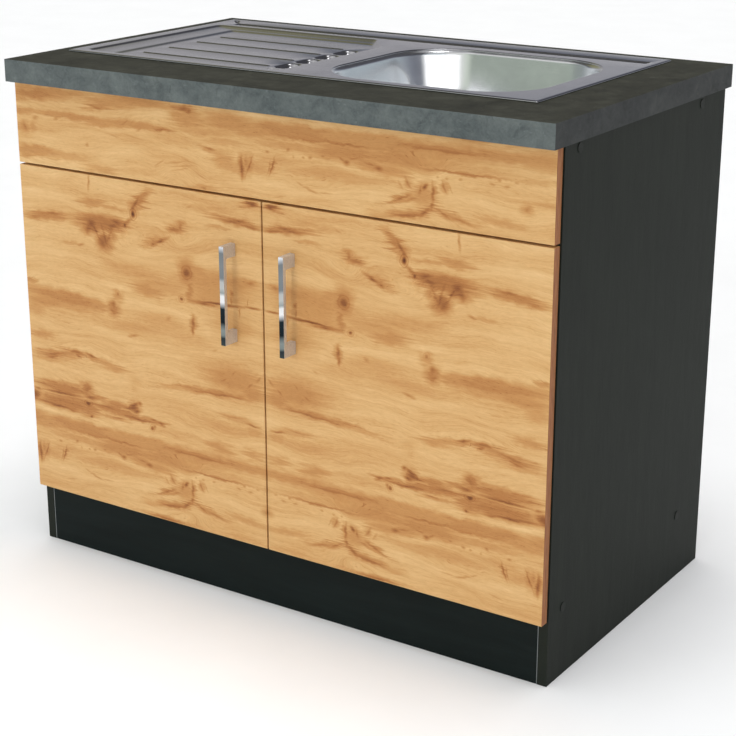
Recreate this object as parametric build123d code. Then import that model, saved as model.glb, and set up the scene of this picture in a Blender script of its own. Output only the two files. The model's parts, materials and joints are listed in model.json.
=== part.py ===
from build123d import *
import os
from math import sin, cos, radians, sqrt, atan2, pi

# Kitchen sink unit: a 1000 mm base cabinet with a worktop, an inset steel sink,
# a fixed upper front, two doors on concealed cup hinges, and the waste fittings.
# Millimetres, +Z up. While building, Y = 0 is the worktop's front edge and the
# front faces -Y; everything is shifted by -Y_SHIFT when it is written out.

# ---------------------------------------------------------------- driving sizes
UNIT_W = 1000.0          # worktop width
UNIT_D = 600.0           # worktop depth
UNIT_H = 850.0           # floor to worktop top
TOP_T = 36.0             # worktop thickness
BOARD = 16.0             # carcass board and front thickness
CASE_HALF = 498.0        # half width over the side panels
CASE_Y0 = 34.0           # front edge of the side panels
CASE_Y1 = 580.0          # rear edge of the side panels
FRONT_HALF = 496.0       # half width over the fronts
FRONT_Y0 = 16.0          # front face of doors and upper front
FRONT_Y1 = FRONT_Y0 + BOARD
DOOR_Z0, DOOR_Z1 = 106.0, 676.0
DOOR_GAP = 3.0           # gap between the two doors
UPPER_Z0, UPPER_Z1 = 680.0, 812.5
PLINTH_H = 105.0
CASE_TOP = UNIT_H - TOP_T
RAIL_D = 88.0            # depth of the flat front rail
REAR_Y0, REAR_Y1 = 482.0, 498.0
REAR_RAIL_H = 100.0
BACK_T = 3.0
SINK_X0, SINK_X1 = -472.0, 408.0
SINK_Y0, SINK_Y1 = 120.0, 570.0
SHEET = 0.8              # sink sheet
DECK_Z = 853.0           # top of the sink's deck
BOWL_X0, BOWL_X1 = -4.0, 368.0
BOWL_Y0, BOWL_Y1 = 140.0, 485.0
BOWL_R = 100.0
BOWL_DEPTH = 150.0
BOWL_LIP = 9.0
BOWL_TAPER = 4.0
WELD_BELOW = 8.0        # weld seam below the deck's top
DRAIN_X0, DRAIN_X1 = -446.0, -58.0
DRAIN_Y0, DRAIN_Y1 = 138.0, 492.0
DRAIN_R = 38.0
DRAIN_DEPTH = 12.0
CUT_X0, CUT_X1 = -457.0, 393.0      # worktop cut-out
CUT_Y0, CUT_Y1 = 131.0, 556.0
CUT_R = 12.0
WASTE_X, WASTE_Y = 182.0, 312.0
HINGE_Z = (196.0, 586.0)
HINGE_PLATE_Y = 71.0     # 37 mm behind the front edge
CUP_OFFSET = 20.5        # cup centre from the door's outer edge
CUP_R = 17.5
CUP_DEPTH = 11.5
HANDLE_X = 56.0
HANDLE_Z0, HANDLE_Z1 = 447.0, 605.0
HANDLE_OUT = 30.0
HANDLE_W = 9.0
HANDLE_BAR = 7.5       # thickness of the bar
HANDLE_LEG = 20.0      # height of each foot
Y_SHIFT = 293.0

# hinge pivots, in a plan frame with its origin at the inner front edge of the
# side panel: u towards the outside of the unit, v towards the back
PIV_A = (-6.138, 8.946)    # outer link on the arm
PIV_C = (6.000, -6.339)    # outer link in the cup
PIV_B = (-17.771, -3.980)  # inner link on the arm
PIV_D = (-0.484, -6.824)   # inner link, cup end (the open pivot)
CRANK = [(-6.0, -3.5), (-2.3, -10.7)]   # the outer link's two bends, which clear the door's edge when open
PIN_R = 1.2
EYE_R = 1.27
INNER = CASE_HALF - BOARD  # 482

os.makedirs("parts", exist_ok=True)
done = []


def put(name, shape):
    """Shift to the part's own frame and write one node."""
    if isinstance(shape, (list, tuple)):
        solids = []
        for s in shape:
            solids.extend(s.solids())
        shape = Compound(children=[Solid(s.wrapped) for s in solids]) if len(solids) > 1 else solids[0]
    shape = Pos(0, -Y_SHIFT, 0) * shape
    export_step(shape, "parts/" + name + ".step")
    done.append((name, len(shape.solids()), shape.volume))


def box(x0, x1, y0, y1, z0, z1):
    return Pos((x0 + x1) / 2, (y0 + y1) / 2, (z0 + z1) / 2) * Box(x1 - x0, y1 - y0, z1 - z0)


def cyl(p, d, r, h):
    """Cylinder from point p along direction d."""
    return Plane(origin=p, z_dir=d) * Cylinder(r, h, align=(Align.CENTER, Align.CENTER, Align.MIN))


def cone(p, d, r0, r1, h):
    return Plane(origin=p, z_dir=d) * Cone(r0, r1, h, align=(Align.CENTER, Align.CENTER, Align.MIN))


def ring(p, d, ro, ri, h):
    return cyl(p, d, ro, h) - cyl(p, d, ri, h)


def rrect(x0, x1, y0, y1, r, z):
    return Pos((x0 + x1) / 2, (y0 + y1) / 2, z) * RectangleRounded(x1 - x0, y1 - y0, r)


def slab(x0, x1, y0, y1, r, z0, z1):
    return extrude(rrect(x0, x1, y0, y1, r, z0), z1 - z0)


def flat_edges(shape, z, x0=-1e9, x1=1e9, y0=-1e9, y1=1e9):
    out = []
    for e in shape.edges():
        b = e.bounding_box()
        if abs(b.min.Z - z) < 1e-3 and abs(b.max.Z - z) < 1e-3 and b.min.X > x0 and b.max.X < x1 and b.min.Y > y0 and b.max.Y < y1:
            out.append(e)
    return out


def mirror_x(s):
    return mirror(s, about=Plane.YZ)


# ---------------------------------------------------------------- carcass
GROOVE = 8.0


def side_panel(sx):
    xo, xi = sx * CASE_HALF, sx * INNER
    p = box(min(xo, xi), max(xo, xi), CASE_Y0, CASE_Y1, 0, CASE_TOP)
    # groove for the back panel
    g0, g1 = (xi, xi + sx * GROOVE)
    p -= box(min(g0, g1), max(g0, g1), REAR_Y1, REAR_Y1 + BACK_T + 0.3, 106, CASE_TOP + 1)
    for (y, z) in SCREW_YZ:
        p -= cyl((xo, y, z), (-sx, 0, 0), 3.6, BOARD)
    for z in HINGE_Z:
        for dz in (-16, 16):
            p -= cyl((xi, HINGE_PLATE_Y, z + dz), (sx, 0, 0), 2.5, 12.0)
    # pilot holes for the upper-front brackets
    for z in BRACKET_Z:
        p -= cyl((xi, CASE_Y0 + 18, z), (sx, 0, 0), 1.5, 11.0)
    return p


FLOOR_Z0, FLOOR_Z1 = 106.0, 122.0
RAIL_Z0 = CASE_TOP - BOARD
SCREW_YZ = ((78.0, FLOOR_Z0 + 8), (486.0, FLOOR_Z0 + 8), (78.0, CASE_TOP - 9), (490.0, CASE_TOP - 11))
BRACKET_Z = (700.0, 780.0)

put("side_panel_left", side_panel(-1))
put("side_panel_right", side_panel(1))

bottom = box(-INNER, INNER, CASE_Y0, REAR_Y1, FLOOR_Z0, FLOOR_Z1)
rail_f = box(-INNER, INNER, CASE_Y0, CASE_Y0 + RAIL_D, RAIL_Z0, CASE_TOP)
rail_r = box(-INNER, INNER, REAR_Y0, REAR_Y1, CASE_TOP - REAR_RAIL_H, CASE_TOP)
for sx in (-1, 1):
    for (y, z) in SCREW_YZ:
        h = cyl((sx * INNER, y, z), (-sx, 0, 0), 2.5, 36.0)
        if z < 200:
            bottom -= h
        elif y < 200:
            rail_f -= h
        else:
            rail_r -= h
# holes for the worktop screws in the front rail, wall-fixing holes in the rear rail
TOP_SCREWS = ((-380.0, 60.0), (-127.0, 60.0), (127.0, 60.0), (380.0, 60.0))
for (x, y) in TOP_SCREWS:
    rail_f -= cyl((x, y, RAIL_Z0), (0, 0, 1), 2.3, BOARD)
WALL_HOLES = (-400.0, 400.0)
WALL_HOLE_R = 4.0
WALL_HOLE_Z = 742.0
for x in WALL_HOLES:
    rail_r -= cyl((x, REAR_Y0, WALL_HOLE_Z), (0, 1, 0), WALL_HOLE_R, BOARD)
put("front_rail", rail_f)

PORT_X0, PORT_X1, PORT_Z0, PORT_Z1 = 90.0, 400.0, 300.0, 600.0     # service opening for the waste and water pipes
back = box(-INNER - GROOVE + 0.5, INNER + GROOVE - 0.5, REAR_Y1, REAR_Y1 + BACK_T, 106.5, CASE_TOP)
back -= box(PORT_X0, PORT_X1, REAR_Y1 - 1, REAR_Y1 + BACK_T + 1, PORT_Z0, PORT_Z1)
for x in WALL_HOLES:
    back -= cyl((x, REAR_Y1, WALL_HOLE_Z), (0, 1, 0), WALL_HOLE_R + 1, BACK_T)
BACK_PINS = [(x, z) for x in (-420.0, -210.0, 0.0, 210.0, 420.0) for z in (FLOOR_Z0 + 8, CASE_TOP - 50)]
for (x, z) in BACK_PINS:
    back -= cyl((x, REAR_Y1, z), (0, 1, 0), 1.5, BACK_T)
put("back_panel", back)
pins = []
for (x, z) in BACK_PINS:
    pins.append(cyl((x, REAR_Y1 + BACK_T, z), (0, -1, 0), 1.5, BACK_T + 12) + cyl((x, REAR_Y1 + BACK_T, z), (0, 1, 0), 3.5, 1.6))
    h = cyl((x, REAR_Y1, z), (0, -1, 0), 1.5, 12)
    if z < 200:
        bottom -= h
    else:
        rail_r -= h
put("back_panel_screws", pins)
put("bottom_panel", bottom)
put("rear_rail", rail_r)

# plinth between the side panels, with a thin edge strip on each end
EDGE_T = 1.2
plinth = box(-INNER + EDGE_T, INNER - EDGE_T, CASE_Y0 + 0.5, CASE_Y0 + 0.5 + BOARD, 0, PLINTH_H)
put("plinth_board", plinth)
put("plinth_edge_strips", [box(-INNER, -INNER + EDGE_T, CASE_Y0 + 0.5, CASE_Y0 + 0.5 + BOARD, 0, PLINTH_H),
                           box(INNER - EDGE_T, INNER, CASE_Y0 + 0.5, CASE_Y0 + 0.5 + BOARD, 0, PLINTH_H)])
# two angle brackets hold the plinth under the bottom panel
pb = []
for x in (-300.0, 300.0):
    a = box(x - 20, x + 20, CASE_Y0 + 0.5 + BOARD, CASE_Y0 + 2.5 + BOARD, 72, 106)
    b = box(x - 20, x + 20, CASE_Y0 + 0.5 + BOARD, CASE_Y0 + 34 + BOARD, 104, 106)
    br = a + b
    for dx in (-10, 10):
        br -= cyl((x + dx, CASE_Y0 + 0.5 + BOARD, 84), (0, 1, 0), 1.75, 2.0)
        br -= cyl((x + dx, CASE_Y0 + 22 + BOARD, 104), (0, 0, 1), 1.75, 2.0)
    pb.append(br)

# confirmat screws through the side panels and their cover caps
scr = []
caps = []
for sx in (-1, 1):
    for (y, z) in SCREW_YZ:
        xo = sx * CASE_HALF
        s = cyl((xo - sx * 1.2, y, z), (-sx, 0, 0), 3.55, BOARD - 1.2)
        s += cyl((xo - sx * BOARD, y, z), (-sx, 0, 0), 2.45, 34.0)
        scr.append(s)
        c = cyl((xo, y, z), (sx, 0, 0), 7.5, 1.0)
        caps.append(c + cyl((xo, y, z), (-sx, 0, 0), 2.6, 1.2))
put("carcass_screws", scr)
put("screw_cover_caps", caps)

# ---------------------------------------------------------------- worktop
top = box(-UNIT_W / 2, UNIT_W / 2, 0, UNIT_D, CASE_TOP, UNIT_H)
top -= slab(CUT_X0, CUT_X1, CUT_Y0, CUT_Y1, CUT_R, CASE_TOP - 1, UNIT_H + 1)
ws = []
for (x, y) in TOP_SCREWS:
    top -= cyl((x, y, CASE_TOP), (0, 0, 1), 2.0, 18)
    s = cyl((x, y, RAIL_Z0), (0, 0, 1), 2.0, BOARD + 18)
    s += cone((x, y, RAIL_Z0 - 2.4), (0, 0, 1), 4.2, 2.0, 2.4)
    ws.append(s)
top = chamfer([e for e in top.edges() if e.bounding_box().min.Z > UNIT_H - 0.01 and (e.bounding_box().max.Y < 0.01)], 0.6)
put("worktop", top)
put("worktop_screws", ws)

# ---------------------------------------------------------------- upper front
upper = box(-FRONT_HALF, FRONT_HALF, FRONT_Y0, FRONT_Y1, UPPER_Z0, UPPER_Z1)
brs = []
bsc = []
for sx in (-1, 1):
    for z in BRACKET_Z:
        xi = sx * INNER
        a = box(min(xi, xi - sx * 34), max(xi, xi - sx * 34), FRONT_Y1, FRONT_Y1 + 2, z - 9, z + 9)
        b = box(min(xi, xi - sx * 2), max(xi, xi - sx * 2), FRONT_Y1, FRONT_Y1 + 34, z - 9, z + 9)
        br = a + b
        br -= cyl((xi, CASE_Y0 + 18, z), (-sx, 0, 0), 2.0, 2.0)
        br -= cyl((xi - sx * 22, FRONT_Y1, z), (0, 1, 0), 2.0, 2.0)
        brs.append(br)
        upper -= cyl((xi - sx * 22, FRONT_Y1, z), (0, -1, 0), 1.5, 11.0)
        s1 = cyl((xi - sx * 22, FRONT_Y1 + 2, z), (0, 1, 0), 3.6, 2.0) + cyl((xi - sx * 22, FRONT_Y1 + 2, z), (0, -1, 0), 1.5, 12.0)
        s2 = cyl((xi - sx * 2, CASE_Y0 + 18, z), (-sx, 0, 0), 3.6, 2.0) + cyl((xi - sx * 2, CASE_Y0 + 18, z), (sx, 0, 0), 1.5, 12.0)
        bsc += [s1, s2]
upper = chamfer([e for e in upper.edges() if e.bounding_box().max.Y < FRONT_Y0 + 0.01], 0.6)
put("front_panel", upper)
put("angle_brackets", brs + pb)
put("front_panel_screws", bsc)

# ---------------------------------------------------------------- sink
def bowl_form(off, z_top):
    """Bowl cavity grown by off, from z_top down; off is measured square to the wall."""
    x0, x1, y0, y1 = BOWL_X0 + BOWL_LIP, BOWL_X1 - BOWL_LIP, BOWL_Y0 + BOWL_LIP, BOWL_Y1 - BOWL_LIP
    g = off / cos(radians(BOWL_TAPER)) + (z_top - DECK_Z) * sin(radians(BOWL_TAPER)) / cos(radians(BOWL_TAPER))
    sk = rrect(x0 - g, x1 + g, y0 - g, y1 + g, BOWL_R - BOWL_LIP + g, z_top)
    z_bot = DECK_Z - BOWL_DEPTH - off
    b = extrude(sk, -(z_top - z_bot), taper=BOWL_TAPER)
    b = fillet(flat_edges(b, z_bot), 26.0 + off)
    return b


def drain_form(off, z_top):
    g = off
    z_bot = DECK_Z - DRAIN_DEPTH - off
    sk = rrect(DRAIN_X0 + 4 - g, DRAIN_X1 - 4 + g, DRAIN_Y0 + 4 - g, DRAIN_Y1 - 4 + g, DRAIN_R + g, z_top)
    b = extrude(sk, -(z_top - z_bot), taper=12.0)
    b = fillet(flat_edges(b, z_bot), 5.0 + off)
    return b


rim_r = 9.0
deck = slab(SINK_X0, SINK_X1, SINK_Y0, SINK_Y1, rim_r, UNIT_H + 0.2, DECK_Z)
deck = fillet(flat_edges(deck, DECK_Z), 2.2)
under = slab(SINK_X0 + SHEET, SINK_X1 - SHEET, SINK_Y0 + SHEET, SINK_Y1 - SHEET, rim_r - SHEET, UNIT_H + 0.2, DECK_Z - SHEET)
under = fillet(flat_edges(under, DECK_Z - SHEET), 1.4)
sink = deck - under
sink += bowl_form(SHEET, DECK_Z - 0.1) + drain_form(SHEET, DECK_Z - 0.1)
sink -= bowl_form(0, DECK_Z + 5)
sink -= drain_form(0, DECK_Z + 2)
for (edges, r, nm) in (
        (flat_edges(sink, DECK_Z, BOWL_X0, BOWL_X1, BOWL_Y0, BOWL_Y1), 7.0, "bowl lip"),
        (flat_edges(sink, DECK_Z, DRAIN_X0 - 2, DRAIN_X1 + 2, DRAIN_Y0 - 2, DRAIN_Y1 + 2), 3.0, "drainer lip"),
        (flat_edges(sink, DECK_Z - SHEET, BOWL_X0, BOWL_X1, BOWL_Y0, BOWL_Y1), 6.2, "bowl lip under")):
    try:
        s2 = fillet(edges, r)
        if s2.is_valid and len(s2.solids()) == 1:
            sink = s2
        else:
            print("fillet not valid:", nm)
    except Exception as ex:
        print("fillet failed:", nm, len(edges), ex)
BOWL_FLOOR = DECK_Z - BOWL_DEPTH
OVER_Z = DECK_Z - 42.0
OVER_X = BOWL_X1 - BOWL_LIP - 42.0 * sin(radians(BOWL_TAPER)) / cos(radians(BOWL_TAPER))
sink -= cyl((WASTE_X, WASTE_Y, BOWL_FLOOR - 5), (0, 0, 1), 45.0, 10)
sink -= cyl((OVER_X - 12, WASTE_Y, OVER_Z), (1, 0, 0), 15.0, 24)
# the bowl is a separate pressing, welded to the deck's lip
zone = box(BOWL_X0 - 1, BOWL_X1 + 1, BOWL_Y0 - 1, BOWL_Y1 + 1, BOWL_FLOOR - 5, DECK_Z - WELD_BELOW)
put("sink_bowl", sink & zone)
put("sink_deck", sink - zone)

seal = slab(SINK_X0 + 2.5, SINK_X1 - 2.5, SINK_Y0 + 2.5, SINK_Y1 - 2.5, 7, UNIT_H, DECK_Z - SHEET) \
    - slab(SINK_X0 + 11.5, SINK_X1 - 11.5, SINK_Y0 + 11.5, SINK_Y1 - 11.5, 4, UNIT_H - 1, DECK_Z)
put("sink_seal", seal)

# clamps: a bracket welded below the deck, hooked under the worktop by its screw
clamps = []
clsc = []


def clamp_at(x, y, dx, dy):
    """dx, dy is the unit vector from the cut-out's inside towards the worktop."""
    # local frame: w along the outward direction; the bracket stands inside the cut-out
    ang = atan2(dy, dx) * 180 / pi
    zc = UNIT_H - TOP_T
    strap = box(-4.0, -2.8, -8, 8, zc + 14, DECK_Z - SHEET) + box(-14.0, -2.8, -8, 8, zc + 14, zc + 15.2)
    strap -= cyl((-9.0, 0, zc + 13), (0, 0, 1), 2.05, 3)
    foot = box(-14.0, 8.4, -8, 8, zc - 2.0, zc)
    foot -= cyl((-9.0, 0, zc - 3), (0, 0, 1), 2.1, 4)
    screw = cyl((-9.0, 0, zc - 2.0), (0, 0, 1), 2.0, 22.0) + cyl((-9.0, 0, zc - 4.2), (0, 0, 1), 3.6, 2.2)
    loc = Pos(x, y, 0) * Rot(0, 0, ang)
    return loc * strap, loc * foot, loc * screw


CL = [(-350.0, CUT_Y0, 0, -1), (-150.0, CUT_Y0, 0, -1), (300.0, CUT_Y1, 0, 1), (-350.0, CUT_Y1, 0, 1), (-80.0, CUT_Y1, 0, 1),
      (CUT_X0, 345.0, -1, 0), (CUT_X1, 200.0, 1, 0), (CUT_X1, 400.0, 1, 0)]
straps = []
for (x, y, dx, dy) in CL:
    a, b, c = clamp_at(x, y, dx, dy)
    straps.append(a)
    clamps.append(b)
    clsc.append(c)
put("sink_clamp_brackets", straps)
put("sink_clamp_feet", clamps)
put("sink_clamp_screws", clsc)

# ---------------------------------------------------------------- bowl waste
W = (WASTE_X, WASTE_Y)
zf = BOWL_FLOOR
fl = cyl((W[0], W[1], zf), (0, 0, 1), 56.5, 2.0)
fl = fillet(flat_edges(fl, zf + 2.0), 1.6)
fl += cyl((W[0], W[1], zf - 40), (0, 0, 1), 42.5, 41)
fl -= cyl((W[0], W[1], zf - 39), (0, 0, 1), 41.5, 45)
fl += cyl((W[0], W[1], zf - 39), (0, 0, 1), 9.0, 3.0)
for i in range(10):
    a = i * 36.0
    fl -= Pos(W[0] + 25 * cos(radians(a)), W[1] + 25 * sin(radians(a)), zf - 42) * Cylinder(5.0, 10, align=(Align.CENTER, Align.CENTER, Align.MIN))
fl -= cyl((W[0], W[1], zf - 42), (0, 0, 1), 3.2, 10)
put("strainer_flange", fl)
put("strainer_gasket", ring((W[0], W[1], zf - SHEET - 3.0), (0, 0, 1), 55.0, 45.5, 3.0))
wb = cyl((W[0], W[1], zf - SHEET - 6.5), (0, 0, 1), 56.0, 3.5)
wb += cyl((W[0], W[1], zf - 58), (0, 0, 1), 48.0, 58 - SHEET - 3.0)
wb += cyl((W[0], W[1], zf - 84), (0, 0, 1), 20.0, 30)
wb += cyl((W[0] + 30, W[1], zf - 30), (1, 0, 0), 10.9, 42)
wb -= cyl((W[0], W[1], zf - 55), (0, 0, 1), 45.0, 58)
wb -= cyl((W[0], W[1], zf - 90), (0, 0, 1), 16.5, 60)
wb -= cyl((W[0] + 40, W[1], zf - 30), (1, 0, 0), 8.0, 40)
wb += cyl((W[0], W[1], zf - 55), (0, 0, 1), 6.5, 12.9) + box(W[0] - 45.5, W[0] + 45.5, W[1] - 2, W[1] + 2, zf - 55, zf - 50)
wb -= cyl((W[0], W[1], zf - 56), (0, 0, 1), 2.5, 15)
put("waste_body", wb)
sc = cyl((W[0], W[1], zf - 36), (0, 0, 1), 5.5, 2.4) + cyl((W[0], W[1], zf - 54), (0, 0, 1), 2.5, 18)
sc = sc - box(W[0] - 4.5, W[0] + 4.5, W[1] - 0.6, W[1] + 0.6, zf - 34.6, zf - 33)
put("waste_centre_screw", sc)

# basket: a perforated cup that lifts out, with a pull knob and a rubber ring
bk = cyl((W[0], W[1], zf - 28), (0, 0, 1), 30.0, 30.0)
bk = fillet(flat_edges(bk, zf - 28), 6.0)
bi = cyl((W[0], W[1], zf - 27.2), (0, 0, 1), 29.2, 31)
bi = fillet(flat_edges(bi, zf - 27.2), 5.2)
bk = bk - bi
bk += ring((W[0], W[1], zf + 1.2), (0, 0, 1), 40.0, 29.5, 0.8)
holes = []
for i in range(12):
    a = radians(i * 30.0)
    for zz in (-18.2, -11.8, -5.4):
        holes.append(cyl((W[0] + 24 * cos(a), W[1] + 24 * sin(a), zf + zz), (cos(a), sin(a), 0), 1.8, 12))
for i in range(8):
    a = radians(i * 45.0)
    holes.append(cyl((W[0] + 15 * cos(a), W[1] + 15 * sin(a), zf - 30), (0, 0, 1), 1.8, 5))
holes.append(cyl((W[0], W[1], zf - 30), (0, 0, 1), 1.9, 6))
bk = bk - holes
put("strainer_basket", bk)
kn = cyl((W[0], W[1], zf - 28.4), (0, 0, 1), 1.9, 26.0) + cyl((W[0], W[1], zf - 27.2), (0, 0, 1), 5.0, 1.5) + cyl((W[0], W[1], zf - 5), (0, 0, 1), 8.0, 4.0)
put("basket_knob", kn)
put("basket_seal", ring((W[0], W[1], zf - 1.0), (0, 0, 1), 38.5, 30.0, 2.2))

# overflow: plate inside the bowl, elbow outside, joined by one screw
ox = OVER_X
op = cyl((ox - 1.6, WASTE_Y, OVER_Z), (-1, 0, 0), 17.5, 1.6)
op += cyl((ox - 1.6, WASTE_Y, OVER_Z), (1, 0, 0), 12.0, 4.0)
for i in range(6):
    a = i * 60.0 + 30
    op -= cyl((ox - 8, WASTE_Y + 8 * cos(radians(a)), OVER_Z + 8 * sin(radians(a))), (1, 0, 0), 2.6, 20)
op -= cyl((ox - 8, WASTE_Y, OVER_Z), (1, 0, 0), 2.1, 20)
put("overflow_plate", op)
tp = sin(radians(BOWL_TAPER)) / cos(radians(BOWL_TAPER))
ow = ox + SHEET / cos(radians(BOWL_TAPER)) + 15 * tp + 0.9     # clears the sloping wall
put("overflow_gasket", ring((ow, WASTE_Y, OVER_Z), (1, 0, 0), 21.0, 14.0, 3.0))
oe = cyl((ow + 3.0, WASTE_Y, OVER_Z), (1, 0, 0), 21.0, 3.0)
oe += cyl((ow + 6.0, WASTE_Y, OVER_Z), (1, 0, 0), 15.0, 22.0)
oe += cyl((ow + 15.5, WASTE_Y, OVER_Z - 34), (0, 0, 1), 10.9, 30.0)
oe -= cyl((ow + 2.0, WASTE_Y, OVER_Z), (1, 0, 0), 12.6, 23.5)
oe -= cyl((ow + 15.5, WASTE_Y, OVER_Z - 36), (0, 0, 1), 8.0, 32)
oe += cyl((ow + 8.0, WASTE_Y, OVER_Z), (1, 0, 0), 4.0, 18.8)
oe -= cyl((ow + 6.0, WASTE_Y, OVER_Z), (1, 0, 0), 2.05, 18)
put("overflow_elbow", oe)
osw = cyl((ox - 1.6 - 1.6, WASTE_Y, OVER_Z), (-1, 0, 0), 3.6, 1.4) + cyl((ox - 3.3, WASTE_Y, OVER_Z), (1, 0, 0), 2.0, ow + 19 - ox)
put("overflow_screw", osw)

# overflow hose: from the elbow's spigot down and round to the waste body's side spigot
hx = ow + 15.5
hz0 = OVER_Z - 24.0
hz1 = zf - 30.0
HOSE_RO, HOSE_RI = 13.5, 11.1
hx1 = W[0] + 30 + 42 - 14.0
pts = [(hx, WASTE_Y, hz0), (hx, WASTE_Y, hz0 - 64), (hx - 8, WASTE_Y, hz1 - 62), (hx - 62, WASTE_Y, hz1 - 66), (hx1 + 44, WASTE_Y, hz1), (hx1, WASTE_Y, hz1)]
path = FilletPolyline(*pts, radius=28)
hp = Plane(origin=pts[0], z_dir=(0, 0, -1))
hose = sweep(hp * Circle(HOSE_RO), path=path) - sweep(hp * Circle(HOSE_RI), path=path)
put("overflow_hose", hose)
print("hose volume", hose.volume, "expected", pi * (HOSE_RO ** 2 - HOSE_RI ** 2) * path.length)

# bottle trap
zt = zf - 84.0                    # end of the waste body's spigot
put("trap_inlet_nut", cyl((W[0], W[1], zt - 10), (0, 0, 1), 29.0, 24) - cyl((W[0], W[1], zt - 3.6), (0, 0, 1), 20.05, 30) - cyl((W[0], W[1], zt - 11), (0, 0, 1), 16.6, 20))
ti = cyl((W[0], W[1], zt - 62), (0, 0, 1), 16.4, 62) + cyl((W[0], W[1], zt - 3.4), (0, 0, 1), 19.8, 3.0)
ti -= cyl((W[0], W[1], zt - 63), (0, 0, 1), 14.2, 64)
put("trap_inlet_tube", ti)
tb = cyl((W[0], W[1], zt - 84), (0, 0, 1), 32.0, 62) + cone((W[0], W[1], zt - 22), (0, 0, 1), 32.0, 20.0, 10)
tb += cyl((W[0], W[1] + 20, zt - 42), (0, 1, 0), 20.0, 40)
tb -= cyl((W[0], W[1], zt - 90), (0, 0, 1), 29.4, 66)
tb -= cyl((W[0], W[1], zt - 90), (0, 0, 1), 16.5, 90)
tb -= cyl((W[0], W[1] + 20, zt - 42), (0, 1, 0), 17.0, 45)
put("trap_body", tb)
tc = cyl((W[0], W[1], zt - 100), (0, 0, 1), 36.0, 28)
tc = fillet(flat_edges(tc, zt - 100), 4.0)
tc -= cyl((W[0], W[1], zt - 84), (0, 0, 1), 32.05, 20)
tc -= cyl((W[0], W[1], zt - 97), (0, 0, 1), 28.5, 14)
for i in range(8):
    a = i * 45.0
    tc -= Pos(W[0] + 38 * cos(radians(a)), W[1] + 38 * sin(radians(a)), zt - 101) * Cylinder(4.0, 30, align=(Align.CENTER, Align.CENTER, Align.MIN))
put("trap_base_cap", tc)
OUT_Z = zt - 42
put("trap_outlet_nut", cyl((W[0], W[1] + 46, OUT_Z), (0, 1, 0), 28.0, 24) - cyl((W[0], W[1] + 45, OUT_Z), (0, 1, 0), 20.05, 15.2) - cyl((W[0], W[1] + 45, OUT_Z), (0, 1, 0), 16.6 + 3.5, 30))
OUT_R = 20.0
pipe = cyl((W[0], W[1] + 60.0, OUT_Z), (0, 1, 0), 19.0, 14.0) + cyl((W[0], W[1] + 74.0, OUT_Z), (0, 1, 0), OUT_R, UNIT_D - (W[1] + 74.0))
pipe -= cyl((W[0], W[1] + 59.0, OUT_Z), (0, 1, 0), 17.0, UNIT_D)
put("waste_outlet_pipe", pipe)

# ---------------------------------------------------------------- doors
def uv(p, z):
    """Hinge plan point to the right-hand side of the unit."""
    return (INNER + p[0], CASE_Y0 + p[1], z)


def disc(p, r, z0, z1):
    q = uv(p, z0)
    return cyl(q, (0, 0, 1), r, z1 - z0)


def bar(points, w, z0, z1):
    """Flat strip of width w through plan points, rounded at its ends."""
    s = None
    for i in range(len(points) - 1):
        (u0, v0), (u1, v1) = points[i], points[i + 1]
        L = sqrt((u1 - u0) ** 2 + (v1 - v0) ** 2)
        a = atan2(v1 - v0, u1 - u0) * 180 / pi
        m = uv(((u0 + u1) / 2, (v0 + v1) / 2), (z0 + z1) / 2)
        b = Pos(*m) * Rot(0, 0, a) * Box(L, w, z1 - z0)
        s = b if s is None else s + b
    for p in points:
        s += disc(p, w / 2, z0, z1)
    return s


CUP_X = FRONT_HALF - CUP_OFFSET
CUP_U = CUP_X - INNER
HOLE_PTS = [(9.0, 24.0), (9.0, -24.0)]


def door():
    d = box(DOOR_GAP / 2, FRONT_HALF, FRONT_Y0, FRONT_Y1, DOOR_Z0, DOOR_Z1)
    d = chamfer([e for e in d.edges() if e.bounding_box().max.Y < FRONT_Y0 + 0.01], 0.6)
    for z in HINGE_Z:
        d -= cyl((CUP_X, FRONT_Y1, z), (0, -1, 0), CUP_R, CUP_DEPTH + 0.3)
        for s in (-1, 1):
            d -= cyl((CUP_X - 9.5, FRONT_Y1, z + s * 22.5), (0, -1, 0), 1.6, 11.0)
    for z in (HANDLE_Z0 + 10.0, HANDLE_Z1 - 10.0):
        d -= cyl((HANDLE_X, FRONT_Y0, z), (0, 1, 0), 2.3, BOARD)
    return d


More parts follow.
